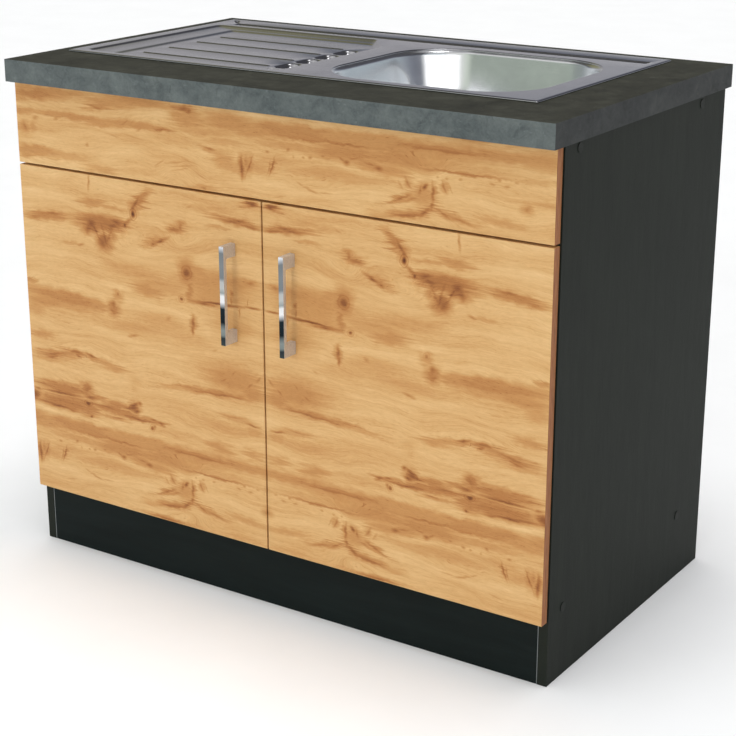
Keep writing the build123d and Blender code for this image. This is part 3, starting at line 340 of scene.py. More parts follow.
OAK_LINES = [
    # (60, 523, ...) in this row is a small dark spot painted beside the handle bar, standing for the handle's shadow on
    # the door; the rest of the row is the crack at about 500 mm and its knots
    (86, 502, 70, 1.7, -3.4, 0.92), (20, 506, 24, 1.6, -2, 0.80), (116, 498, 34, 2.4, 2, 0.72), (46, 496, 1.8, 7, 0, 0.55), (60, 523, 4, 4, 0, 0.55), (30, 512, 1.6, 5, 0, 0.5), (24, 545, 8, 1.6, 0, 0.40), (62, 508, 2, 7, 0, 0.4),
    (200, 587, 24, 2.6, -26, 0.66), (214, 580, 10, 3.0, -26, 0.50), (172, 609, 16, 2.2, -4, 0.44), (158, 616, 4, 5, 0, 0.40),
    (250, 640, 16, 2.0, -58, 0.55), (264, 612, 12, 2.8, -45, 0.60), (346, 664, 3.2, 10, 8, 0.58), (344, 596, 10, 4, 0, 0.58), (352, 586, 6, 6, 20, 0.50), (336, 586, 3, 10, -28, 0.50), (318, 580, 3, 13, -18, 0.45), (300, 596, 10, 3, -30, 0.45), (306, 582, 3, 10, 30, 0.34), (324, 566, 9, 6, 0, 0.42), (292, 606, 12, 2.6, 14, 0.50),
    (470, 589, 16, 2.4, -8, 0.46), (430, 602, 24, 2.0, -6, 0.42), (462, 585, 12, 1.8, 0, 0.40), (368, 558, 9, 1.8, -16, 0.48), (60, 637, 24, 1.8, -4, 0.52), (16, 633, 24, 1.8, 4, 0.62), (44, 641, 14, 2.2, 4, 0.50), (18, 670, 12, 2.4, 0, 0.60), (140, 650, 8, 1.4, -30, 0.30),
    (139, 463, 3.6, 8, 0, 0.62), (140, 450, 3.2, 6, 0, 0.50), (304, 467, 5, 4, 0, 0.46), (308, 452, 8, 3, 20, 0.36), (264, 420, 12, 1.7, -8, 0.55), (272, 416, 7, 1.2, -8, 0.40), (96, 424, 8, 1.4, -20, 0.26), (190, 460, 6, 2, -20, 0.32),
    (360, 368, 17, 1.6, 8, 0.66), (392, 369, 18, 2.0, -4, 0.58), (388, 361, 8, 2.4, 20, 0.42), (440, 357, 24, 1.6, -12, 0.46), (448, 350, 16, 1.6, -16, 0.46), (478, 358, 14, 1.2, 0, 0.30), (86, 351, 60, 1.5, -3, 0.42), (12, 391, 8, 1.6, -45, 0.42), (30, 378, 9, 1.6, -40, 0.36), (60, 392, 8, 1.4, -45, 0.30), (80, 378, 8, 1.4, -30, 0.30),
    (24, 312, 18, 1.4, 3, 0.66), (60, 319, 26, 1.2, -3, 0.32),
    (434, 288, 62, 1.7, -2, 0.82), (366, 292, 18, 2.8, 4, 0.76), (486, 287, 14, 1.6, 6, 0.60), (436, 263, 50, 1.7, 3, 0.66), (470, 265, 24, 1.6, 4, 0.50), (496, 273, 6, 9, 0, 0.55), (470, 277, 10, 2.2, 0, 0.30), (372, 304, 8, 3, -30, 0.40),
    (270, 299, 14, 2.0, -24, 0.66), (257, 303, 7, 2.0, 0, 0.66), (282, 290, 12, 2.2, -10, 0.52), (264, 288, 9, 2.2, -20, 0.52), (332, 283, 40, 1.7, 0, 0.56), (262, 274.5, 44, 1.8, 1, 0.66), (213, 276, 8, 3.0, 10, 0.62), (230, 280, 9, 1.5, -8, 0.55), (228, 268, 4, 3.0, 0, 0.50), (306, 268, 16, 1.4, 0, 0.42),
    (396, 226, 60, 1.2, 2, 0.32), (140, 235, 90, 1.3, 0, 0.32), (280, 226, 90, 1.2, 0, 0.26), (100, 206.5, 80, 1.2, 0, 0.42), (298, 199.5, 7, 2.4, 0, 0.72), (306, 203, 9, 1.4, 20, 0.44), (242, 197, 9, 2.8, 12, 0.58), (256, 202, 12, 1.4, 10, 0.40), (286, 206, 12, 1.2, -16, 0.34), (402, 206, 4, 2.0, -20, 0.52), (440, 199.5, 4, 1.6, 0, 0.48), (362, 199.5, 5, 2.0, -16, 0.52), (374, 198, 3, 1.6, 0, 0.48), (392, 197, 3, 1.6, 0, 0.36), (340, 205, 4, 1.5, 0, 0.36), (144, 197, 3.4, 1.7, 0, 0.40), (128, 197, 3.4, 1.7, 0, 0.40), (106, 198, 4, 1.8, 0, 0.42), (45, 204, 4, 1.8, 0, 0.44), (56, 198, 6, 1.4, 8, 0.40), (32, 197, 6, 1.4, -8, 0.40), (18, 204, 4, 1.3, 0, 0.34),
    (488, 168, 3.2, 13, 0, 0.62), (474, 175, 2.0, 12, 24, 0.52), (480, 184, 4, 6, 0, 0.30), (431, 179, 2.0, 11, 20, 0.58), (437, 176, 1.6, 9, 16, 0.34),
    (164.5, 180.5, 6.5, 2.4, -44, 0.85), (172, 176, 3, 6, 20, 0.40), (151, 175, 3.0, 11, -6, 0.52), (207, 158, 22, 1.6, -22, 0.52), (186, 161, 10, 1.5, -10, 0.46), (196, 135, 34, 1.9, -9, 0.50), (164, 144, 14, 2.2, -44, 0.60), (152, 155, 9, 2.2, -62, 0.48), (193, 184, 3, 7, -30, 0.40), (133, 184, 2.2, 6, -24, 0.44), (122, 182, 1.8, 5, -30, 0.30), (205, 178, 2.4, 5, -30, 0.30),
    (134, 146, 20, 1.5, 24, 0.46), (108, 140, 26, 1.5, 12, 0.38), (360, 150.5, 20, 1.4, 16, 0.46), (380, 158, 10, 1.2, 24, 0.32), (420, 133, 14, 1.1, -12, 0.30), (336, 149, 16, 1.2, -4, 0.34), (210, 109, 40, 1.8, 0, 0.50), (330, 131, 24, 0.9, 0, 0.24),
    (598, 247, 12, 2.0, -6, 0.62), (588, 245, 5, 3, 0, 0.42), (776, 231, 18, 1.4, 10, 0.42), (640, 210, 24, 1.3, 0, 0.36), (798, 170, 4.5, 2.4, 0, 0.44), (862, 205, 7, 2.0, -20, 0.42), (932, 186, 4, 6, -20, 0.34), (908, 202, 8, 2, 0, 0.34), (690, 205, 8, 1.6, -30, 0.34), (716, 214, 10, 1.2, -30, 0.30),
    (616, 163, 26, 1.1, -12, 0.34), (604, 158, 30, 1.1, -8, 0.34), (590, 168, 24, 1.1, 12, 0.32), (612, 151, 26, 1.1, -14, 0.30), (648, 158, 14, 1.1, -28, 0.30), (566, 146, 16, 1.1, 28, 0.28), (550, 192, 12, 1.6, 10, 0.46), (562, 129, 6, 1.6, 0, 0.44), (700, 193, 24, 1.0, 6, 0.26), (740, 190, 20, 1.0, 10, 0.26),
    (0, 169, 5, 3, 0, 0.3), (880, 138, 30, 1.2, 0, 0.26), (910, 140, 26, 1.4, -6, 0.32),
]
OAK_KNOTS = [
    (255, 623.5, 5.6, 8.0, 0, 1.0), (272, 602.5, 3.8, 4.2, 0, 0.72), (149, 543, 8.5, 8.5, 0, 0.58), (161.5, 497.5, 5.0, 4.6, 0, 0.78), (371, 281, 7.0, 5.0, 0, 0.80),
    (365, 258.5, 3.8, 2.8, 0, 0.66), (232.5, 265, 4.0, 5.0, -30, 0.74), (271, 293, 8, 6.0, -20, 0.44), (294, 486, 5, 5, 0, 0.40), (490, 275, 5, 6, 0, 0.32),
]
OAK_PALE = [
    (300, 500, 40, 6, 0, 0.16), (232, 562, 60, 12, -14, 0.13), (262, 580, 40, 7, -18, 0.12), (460, 253, 40, 4, 0, 0.16), (300, 250, 120, 4, 0, 0.12), (440, 336, 60, 8, 0, 0.10), (380, 330, 60, 12, 0, 0.10), (100, 570, 60, 12, 0, 0.10),
    (200, 378, 70, 10, 0, 0.10), (180, 190, 8, 8, 0, 0.16), (144, 192, 8, 8, 0, 0.16), (430, 150, 70, 14, 0, 0.10), (60, 170, 60, 12, 0, 0.08), (760, 180, 90, 16, 0, 0.08), (450, 640, 60, 16, 0, 0.08), (656, 232, 50, 6, 0, 0.14), (880, 168, 60, 12, 0, 0.08), (312, 585, 5, 5, -40, 0.22), (326, 583, 4, 6, 20, 0.20), (284, 586, 14, 3, -24, 0.18),
]
# (a, v, radius along, radius up, lift of the grain in mm)
OAK_SWINGS = [(320, 640, 120, 44, 16.0), (250, 570, 90, 36, 22.0), (152, 588, 70, 36, 16.0), (150, 500, 70, 26, -10.0), (372, 385, 100, 34, -16.0), (160, 205, 60, 34, 20.0), (160, 128, 76, 30, -16.0), (200, 330, 90, 30, 8.0), (612, 150, 60, 40, -18.0), (340, 160, 80, 24, 10.0), (670, 232, 70, 20, -10.0)]

oak_door = oak("oak_door")
oak_upper = oak("oak_upper", True)


def slate():
    M = Mat("slate_worktop")
    x, y, z = M.xyz()
    p = M.pos()
    a = M.noise(p, 0.007, 3.0, 0.6, 0.8)
    b = M.noise(M.mapping(p, scale=(1.0, 1.0, 1.2)), 0.040, 5.0, 0.68, 0.6)
    c = M.noise(p, 0.25, 4.0, 0.7)
    t = M.m_("ADD", M.m_("MULTIPLY", a, 0.36), M.m_("ADD", M.m_("MULTIPLY", b, 0.42), M.m_("MULTIPLY", c, 0.22)))
    # top, front edge and end faces share one texture in different tones, partly painted light and shade by the way each
    # face looks: the front edge is painted lighter as lit from the front, and the top darker against the overhead lamp.
    # The front edge's bluer hue is its own tone. The clouds, flecks and pale spots below follow the same split by face.
    top = M.ramp(t, [(0.32, lin(40, 40, 35)), (0.46, lin(52, 52, 45)), (0.56, lin(62, 62, 54)), (0.72, lin(76, 76, 68))])
    edge = M.ramp(t, [(0.32, lin(68, 75, 75)), (0.46, lin(90, 97, 97)), (0.56, lin(102, 109, 108)), (0.72, lin(120, 127, 125))])
    side = M.ramp(t, [(0.32, lin(44, 46, 47)), (0.46, lin(59, 61, 61)), (0.56, lin(68, 70, 69)), (0.72, lin(82, 84, 82))])
    front = M.mapr(y, -292.2, -292.8, 0.0, 1.0)
    ends = M.mapr(M.m_("ABSOLUTE", x), 499.3, 499.8, 0.0, 1.0)
    col = M.mix(front, M.mix(ends, top, side), edge)
    # darker clouds and small dark flecks
    dk = M.mapr(M.noise(M.mapping(p, loc=(4, 1, 2)), 0.020, 5.0, 0.72, 1.4), 0.55, 0.72, 0.0, 0.55, smooth=True)
    col = M.mix(dk, col, M.mix(front, lin(38, 39, 36), lin(60, 67, 68)))
    fl = M.mapr(M.noise(M.mapping(p, loc=(9, 5, 2), scale=(1, 1, 1.6)), 0.16, 3.0, 0.7, 0.6), 0.60, 0.72, 0.0, 0.45, smooth=True)
    col = M.mix(M.m_("MULTIPLY", fl, M.mapr(a, 0.42, 0.60, 1.0, 0.25)), col, M.mix(front, lin(32, 33, 30), lin(48, 55, 57)))
    pl = M.mapr(M.noise(M.mapping(p, loc=(2, 8, 6), scale=(1, 1, 1.5)), 0.09, 4.0, 0.7, 0.8), 0.58, 0.74, 0.0, 0.35, smooth=True)
    col = M.mix(pl, col, M.mix(front, lin(92, 92, 84), lin(130, 138, 137)))
    M.set(Base_Color=col, Roughness=M.mapr(c, 0.2, 0.8, 0.56, 0.70))
    M.b.inputs["Specular IOR Level"].default_value = 0.14
    h = M.m_("ADD", M.m_("MULTIPLY", b, 0.5), M.m_("MULTIPLY", c, 0.5))
    M.set(Normal=M.bump(h, 0.22, 0.0008))
    return M.m


def dark_wood(name, along, dark, lightc, seed):
    """Matt anthracite board with a fine grain; along is the grain's axis, 'x' or 'z'."""
    M = Mat(name)
    x, y, z = M.xyz()
    if along == "z":
        g, c, d = z, y, x
    else:
        g, c, d = x, z, y
    w = M.noise(M.comb(M.m_("MULTIPLY", g, 0.004), M.m_("MULTIPLY", c, 0.012), seed), 1.0, 2.0)
    cc = M.m_("ADD", c, M.m_("MULTIPLY", w, 30.0))
    n1 = M.noise(M.comb(M.m_("MULTIPLY", g, 0.0045), M.m_("MULTIPLY", cc, 0.045), seed), 1.0, 4.0, 0.6)
    n2 = M.noise(M.comb(M.m_("MULTIPLY", g, 0.02), M.m_("MULTIPLY", cc, 0.38), seed + 4), 1.0, 4.0, 0.65)
    n3 = M.noise(M.comb(M.m_("MULTIPLY", g, 0.09), M.m_("MULTIPLY", cc, 1.6), M.m_("MULTIPLY", d, 0.3)), 1.0, 2.0, 0.7)
    t = M.m_("ADD", M.m_("MULTIPLY", n1, 0.5), M.m_("ADD", M.m_("MULTIPLY", n2, 0.32), M.m_("MULTIPLY", n3, 0.18)))
    col = M.ramp(t, [(0.32, dark), (0.50, tuple((dark[i] + lightc[i]) / 2 for i in range(3)) + (1,)), (0.68, lightc)])
    M.set(Base_Color=col, Roughness=M.mapr(n2, 0.2, 0.8, 0.50, 0.66))
    M.b.inputs["Specular IOR Level"].default_value = 0.11
    M.set(Normal=M.bump(M.m_("ADD", n2, M.m_("MULTIPLY", n3, 0.7)), 0.22, 0.0006))
    return M.m


def steel(name, base, rough, lo, hi, brush=None, spec=0.5, bump=0.05):
    M = Mat(name)
    p = M.pos()
    if brush == "x":
        q = M.mapping(p, scale=(0.02, 0.9, 0.9))
    elif brush == "z":
        q = M.mapping(p, scale=(0.9, 0.9, 0.02))
    else:
        q = M.mapping(p, scale=(0.15, 0.15, 0.15))
    n = M.noise(q, 1.0, 5.0, 0.65)
    s = M.noise(p, 0.012, 3.0, 0.6)
    col = M.mix(M.mapr(s, 0.3, 0.7), tuple(c * 0.94 for c in base[:3]) + (1,), tuple(min(1, c * 1.05) for c in base[:3]) + (1,))
    sm = M.mapr(M.noise(p, 0.05, 4.0, 0.7, 1.0), 0.35, 0.75, 0.0, rough * 0.25)
    M.set(Base_Color=col, Metallic=1.0, Roughness=M.m_("ADD", M.mapr(n, 0.25, 0.75, rough * lo, rough * hi), sm))
    M.set(Normal=M.bump(n, bump, 0.0003))
    return M.m


def plastic(name, c0, c1, rough, scale=0.4, bump=0.12, spec=0.5):
    M = Mat(name)
    p = M.pos()
    n = M.noise(p, scale, 4.0, 0.6)
    s = M.noise(p, 0.03, 3.0, 0.6)
    col = M.mix(M.mapr(s, 0.3, 0.7), c0, c1)
    M.set(Base_Color=col, Roughness=M.mapr(n, 0.25, 0.75, rough * 0.85, rough * 1.15))
    M.b.inputs["Specular IOR Level"].default_value = spec
    M.set(Normal=M.bump(n, bump, 0.0004))
    return M.m


def steel_sink(name, rough, lo, hi, base=(0.60, 0.595, 0.62)):
    return steel(name, base, rough, lo, hi, brush="x", bump=0.012)


slate_m = slate()
side_m = dark_wood("anthracite_side", "z", lin(27, 31, 26), lin(38, 42, 36), 3.0)
plinth_m = dark_wood("anthracite_plinth", "x", lin(12, 19, 18), lin(23, 32, 31), 9.0)
inner_m = dark_wood("anthracite_inner", "x", lin(38, 40, 38), lin(64, 66, 62), 15.0)
strip_m = plastic("edge_strip_light", lin(120, 126, 128), lin(142, 148, 150), 0.45)
back_m = plastic("back_board_grey", lin(176, 172, 165), lin(190, 186, 179), 0.6, 0.8, 0.2)
sink_m = steel_sink("steel_deck_satin", 0.17, 0.9, 1.12, (0.63, 0.625, 0.645))
bowl_m = steel_sink("steel_bowl_bright", 0.18, 0.92, 1.1, (0.93, 0.94, 0.95))
chrome_m = steel("chrome_polished", (0.86, 0.87, 0.88), 0.055, 0.7, 1.4, bump=0.01)


def handle_metal():
    """Polished bar front whose base colour carries painted reflections: broad light and dark bands up the bar stand in
    for the surroundings mirrored in chrome; satin feet and flanks.
    """
    M = Mat("handle_chrome")
    x, y, z = M.xyz()
    f = M.mapr(M.m_("ADD", z, M.m_("MULTIPLY", M.m_("SUBTRACT", M.noise(M.comb(x, y, M.m_("MULTIPLY", z, 0.02)), 0.06, 1.0), 0.5), 9.0)), 447.0, 605.0)
    # painted reflection: light and dark bands along z in the bar's base colour, standing in for what the chrome mirrors
    painted_reflection_bands = M.ramp(f, [(0.0, (0.05, 0.06, 0.06, 1)), (0.07, (0.03, 0.04, 0.045, 1)), (0.10, (0.20, 0.23, 0.22, 1)), (0.15, (0.24, 0.27, 0.26, 1)), (0.20, (0.11, 0.13, 0.13, 1)), (0.23, (0.012, 0.018, 0.022, 1)),
                      (0.37, (0.016, 0.024, 0.03, 1)), (0.41, (0.45, 0.46, 0.47, 1)), (0.44, (0.86, 0.86, 0.87, 1)), (0.50, (0.80, 0.81, 0.81, 1)), (0.53, (0.32, 0.35, 0.34, 1)), (0.58, (0.50, 0.51, 0.49, 1)),
                      (0.64, (0.48, 0.49, 0.48, 1)), (0.68, (0.20, 0.22, 0.23, 1)), (0.80, (0.22, 0.24, 0.25, 1)), (0.93, (0.19, 0.21, 0.22, 1)), (0.965, (0.45, 0.47, 0.50, 1)), (1.0, (0.80, 0.82, 0.86, 1))])
    off = M.m_("ABSOLUTE", M.m_("SUBTRACT", M.m_("ABSOLUTE", x), 56.0))
    facing = M.m_("MULTIPLY", M.mapr(off, 4.25, 4.45, 1.0, 0.0), M.mapr(y, -306.2, -306.5, 0.0, 1.0))
    n = M.noise(M.pos(), 0.35, 3.0, 0.6)
    satin = M.mix(M.mapr(n, 0.3, 0.7), lin(196, 190, 184), lin(214, 209, 203))
    # the bar front takes the painted reflection bands, the feet and flanks the satin colour
    col = M.mix(facing, satin, painted_reflection_bands)
    M.set(Base_Color=col, Metallic=M.mapr(facing, 0.0, 1.0, 0.35, 1.0), Roughness=M.mapr(facing, 0.0, 1.0, 0.38, 0.10))
    M.set(Normal=M.bump(n, 0.02, 0.0002))
    return M.m


handle_m = handle_metal()
zinc_m = steel("zinc_screw", (0.66, 0.66, 0.63), 0.34, 0.7, 1.3, bump=0.06)
nickel_m = steel("nickel_hinge", (0.70, 0.69, 0.66), 0.22, 0.7, 1.3, bump=0.04)
cap_m = plastic("cover_cap", lin(32, 35, 31), lin(38, 41, 37), 0.6, spec=0.16)
bump_m = plastic("soft_bumper", lin(196, 196, 190), lin(208, 208, 202), 0.35)
rubber_m = plastic("seal_black", lin(26, 26, 26), lin(36, 36, 36), 0.7, 0.7, 0.3, 0.3)
white_m = plastic("waste_plastic_white", lin(226, 226, 220), lin(236, 236, 231), 0.32)
hose_m = plastic("hose_grey", lin(196, 198, 200), lin(210, 212, 213), 0.4)

SLOT_MAT = {"anthracite_board": inner_m, "back_board": back_m, "edge_strip": strip_m, "slate_worktop": slate_m, "stainless": sink_m, "chrome_trim": chrome_m,
            "zinc_steel": zinc_m, "nickel_hinge": nickel_m, "cap_plastic": cap_m, "clear_bumper": bump_m, "seal_rubber": rubber_m, "white_plastic": white_m, "hose_plastic": hose_m, "oak_front": oak_door}
NODE_MAT = {"door_left": oak_door, "door_right": oak_door, "front_panel": oak_upper, "side_panel_left": side_m, "side_panel_right": side_m, "plinth_board": plinth_m, "handle_left": handle_m, "handle_right": handle_m}
sub = {s["node"]: s.get("material_slot") for s in frame["record"]["subparts"]}
for n, o in N.items():
    m = NODE_MAT.get(n) or SLOT_MAT[sub[n]]
    o.data.materials.clear()
    o.data.materials.append(m)



def finish_piece(name, bm, mat, body, smooth=True):
    me = bpy.data.meshes.new(name)
    bm.normal_update()
    bm.to_mesh(me)
    bm.free()
    o = bpy.data.objects.new(name, me)
    bpy.context.scene.collection.objects.link(o)
    if smooth:
        for p in me.polygons:
            p.use_smooth = True
    if mat is not None:
        me.materials.append(mat)
    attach(o, body)
    return o


# ------------------------------------------------------------------ sink sheet
def rr(x0, x1, y0, y1, r, z, na=12, ns=8):
    """Rounded rectangle, counter-clockwise, always 4 * (na + 1 + ns) points."""
    pts = []
    cs = [(x1 - r, y1 - r, 0), (x0 + r, y1 - r, 90), (x0 + r, y0 + r, 180), (x1 - r, y0 + r, 270)]
    for k, (cx, cy, a0) in enumerate(cs):
        for i in range(na + 1):
            a = math.radians(a0 + 90.0 * i / na)
            pts.append((cx + r * math.cos(a), cy + r * math.sin(a), z))
        nx, ny, na0 = cs[(k + 1) % 4]
        a = math.radians(na0)
        end = (nx + r * math.cos(a), ny + r * math.sin(a), z)
        st = pts[-1]
        for i in range(1, ns + 1):
            t = i / (ns + 1.0)
            pts.append((st[0] + (end[0] - st[0]) * t, st[1] + (end[1] - st[1]) * t, z))
    return pts


def ring_verts(bm, pts):
    return [bm.verts.new(P(*p)) for p in pts]


def bridge(bm, a, b):
    n = len(a)
    for i in range(n):
        j = (i + 1) % n
        bm.faces.new((a[i], a[j], b[j], b[i]))


def loft(bm, rings):
    vs = [ring_verts(bm, r) for r in rings]
    for a, b in zip(vs, vs[1:]):
        bridge(bm, a, b)
    return vs


def fill(bm, loops):
    es = []
    for l in loops:
        for i in range(len(l)):
            a, b = l[i], l[(i + 1) % len(l)]
            e = bm.edges.get((a, b)) or bm.edges.new((a, b))
            es.append(e)
    r = bmesh.ops.triangle_fill(bm, use_beauty=True, use_dissolve=False, edges=es, normal=(0, 0, 1))
    return r


SX0, SX1, SY0, SY1 = -472.0, 408.0, 120.0, 570.0
DZ = 853.0
FLOOR_D = 847.0          # drainer floor


def poly_ring(corners, radii, z, na=8, ns=10):
    """Convex outline given by its corners, anticlockwise, each rounded by its own radius."""
    pts = []
    n = len(corners)
    arcs = []
    for i in range(n):
        p0, p1, p2 = Vector(corners[i - 1]), Vector(corners[i]), Vector(corners[(i + 1) % n])
        d0, d1 = (p0 - p1).normalized(), (p2 - p1).normalized()
        half = d0.angle(d1) / 2.0
        cut = radii[i] / math.tan(half)
        s, e = p1 + d0 * cut, p1 + d1 * cut
        c = p1 + (d0 + d1).normalized() * (radii[i] / math.sin(half))
        a0 = math.atan2(s.y - c.y, s.x - c.x)
        a1 = math.atan2(e.y - c.y, e.x - c.x)
        while a1 < a0:
            a1 += 2 * math.pi
        arcs.append([(c.x + radii[i] * math.cos(a0 + (a1 - a0) * k / na), c.y + radii[i] * math.sin(a0 + (a1 - a0) * k / na)) for k in range(na + 1)])
    for i in range(n):
        pts += arcs[i]
        a, b = arcs[i][-1], arcs[(i + 1) % n][0]
        for k in range(1, ns + 1):
            t = k / (ns + 1.0)
            pts.append((a[0] + (b[0] - a[0]) * t, a[1] + (b[1] - a[1]) * t))
    return [(p[0], p[1], z) for p in pts]


def sink_deck():
    bm = bmesh.new()
    # outer rim: a bullnose turned down to just above the worktop
    rim = []
    for (ins, dz, r) in ((0.0, -2.3, 3.0), (0.0, -1.75, 3.0), (0.25, -1.25, 2.9), (0.75, -0.8, 2.8), (1.6, -0.42, 2.6), (2.8, -0.16, 2.4), (4.2, -0.03, 2.2), (6.0, 0.0, 2.0)):
        rim.append(rr(SX0 + ins, SX1 - ins, SY0 + ins, SY1 - ins, r, DZ + dz, 6))
    v = loft(bm, rim)
    outer = v[-1]
    # bowl lip, ending at the weld below the deck
    bx0, bx1, by0, by1, br = -4.0, 368.0, 140.0, 485.0, 100.0
    lip = [rr(bx0 - 0.8, bx1 + 0.8, by0 - 0.8, by1 + 0.8, br + 0.8, DZ, 24)]
    R = 2.2
    for i in range(0, 9):
        a = math.radians(90.0 * i / 8)
        ins = R * math.sin(a)
        dz = -(R - R * math.cos(a))
        lip.append(rr(bx0 + ins, bx1 - ins, by0 + ins, by1 - ins, br - ins, DZ + dz, 24))
    lv = loft(bm, lip)
    bowl_hole = lv[0]

    # drainer: a broad two-step slope at the left, a plain one at the rear, its rear right corner cut off towards the bowl
    def dr(tl, tr, tf, tb, z, rl):
        x0, x1, y0, y1 = -452.0 + tl, -52.0 - tr, 136.0 + tf, 497.0 - tb
        # the cut corner runs from (-107, 497) to (-52, 432); inset moves it along its own normal
        ins = 0.5 * (tr + tb) * 0.55
        nx, ny = 0.763, 0.646
        cxx = -52.0 * nx + 432.0 * ny - ins
        # corner points where x = x1 and where y = y1 meet the cut
        ya = (cxx - nx * x1) / ny
        xa = (cxx - ny * y1) / nx
        return poly_ring([(x0, y0), (x1, y0), (x1, ya), (xa, y1), (x0, y1)], [10.0, 16.0, 22.0, 16.0, rl], z)
    H = DZ - FLOOR_D
    prof = [  # left, right, front, rear inset, drop
        (0.0, 0.0, 0.0, 0.0, 0.0), (2.6, 0.6, 0.6, 1.2, 0.03), (5.0, 1.6, 1.6, 2.6, 0.22), (7.0, 2.8, 2.8, 4.4, 0.80), (8.8, 3.8, 3.8, 6.4, 1.55), (10.6, 5.0, 5.0, 8.6, 2.05), (13.4, 6.2, 6.2, 11.0, 2.40),
        (18.0, 6.8, 6.8, 13.0, 2.82), (24.0, 7.4, 7.4, 15.0, 3.25), (31.0, 8.0, 8.2, 17.5, 3.60), (39.0, 8.6, 8.8, 20.0, 3.82), (46.0, 9.4, 9.8, 22.0, 3.95), (49.4, 10.0, 10.4, 23.6, 4.22), (52.2, 11.0, 11.4, 26.0, 4.84), (55.0, 12.2, 12.4, 28.4, 5.45), (58.6, 13.4, 13.6, 31.0, 5.85), (63.0, 15.0, 15.0, 34.0, 6.0),
    ]
    rings = [dr(l, r, f, b, DZ - d, 12.0 - 6.0 * min(1.0, l / 60.0)) for (l, r, f, b, d) in prof]
    dvv = loft(bm, rings)
    drain_hole, floor_loop = dvv[0], dvv[-1]

    # step groove along the rear ledge, steep on its rear side
    def bead(f, b, e, z):
        return rr(-427.0 + e, 393.0 - e, 505.0 + f, 528.0 - b, 3.6, z, 4, 10)
    bl = [bead(0, 0, 0, DZ), bead(2.0, 0.6, 0.6, DZ - 0.12), bead(5.6, 1.5, 1.4, DZ - 0.5), bead(9.0, 2.7, 2.4, DZ - 1.3), bead(12.0, 3.7, 3.4, DZ - 1.9), bead(14.0, 4.7, 4.4, DZ - 2.15), bead(15.6, 6.0, 5.4, DZ - 2.2)]
    bv = loft(bm, bl)
    fill(bm, [bv[-1]])

    # short slanting press mark at the rear left corner
    def slant(w, l, z):
        c, s = math.cos(math.radians(135.0)), math.sin(math.radians(135.0))
        out = []
        for (px, py, _) in rr(-l, l, -w, w, w * 0.8, 0.0, 4, 4):
            out.append((-439.5 + px * c - py * s, 540.5 + px * s + py * c, z))
        return out
    sl = [slant(6.4, 19.0, DZ), slant(5.7, 18.2, DZ - 0.2), slant(4.4, 16.8, DZ - 1.0), slant(3.0, 15.2, DZ - 2.1), slant(1.9, 13.8, DZ - 2.8), slant(0.9, 12.4, DZ - 3.0)]
    sv = loft(bm, sl)
    fill(bm, [sv[-1]])
    fill(bm, [outer, bowl_hole, drain_hole, bv[0], sv[0]])
    # drainer floor with narrow ribs and the gullies at their ends
    holes = []
    for y in (195.0, 261.0, 336.0, 402.0):
        rb = []
        for (ins, dz) in ((0.0, 0.0), (0.5, 0.06), (1.1, 0.36), (1.9, 0.86), (2.5, 1.14), (3.1, 1.22)):
            rb.append(rr(-374.0 + ins, -112.0 - ins, y - 3.6 + ins, y + 3.6 - ins, 3.5 - ins, FLOOR_D + dz, 6, 6))
        q = loft(bm, rb)
        fill(bm, [q[-1]])
        holes.append(q[0])
    for (y0, y1) in ((184.0, 236.0), (241.0, 289.0), (294.0, 342.0), (347.0, 399.0)):
        g = []
        for (ins, dz) in ((0.0, 0.0), (1.0, -0.25), (2.2, -1.3), (3.6, -3.4), (5.0, -5.4), (6.8, -6.8), (9.6, -7.4)):
            g.append(rr(-104.0 + ins, -72.0 - ins, y0 + ins, y1 - ins, max(1.6, 14.0 - ins), FLOOR_D + dz, 7, 5))
        q = loft(bm, g)
        fill(bm, [q[-1]])
        holes.append(q[0])
    fill(bm, [floor_loop] + holes)
    bmesh.ops.recalc_face_normals(bm, faces=bm.faces[:])
    up = [f for f in bm.faces if abs(f.normal.z) > 0.9]
    if sum(f.normal.z * f.calc_area() for f in up) < 0:
        bmesh.ops.reverse_faces(bm, faces=bm.faces[:])
    o = finish_piece("sink_deck_sheet", bm, sink_m, "cabinet")
    s = o.modifiers.new("sheet", "SOLIDIFY")
    s.thickness = 0.0008
    s.offset = -1.0
    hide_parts("sink_deck")
    return o


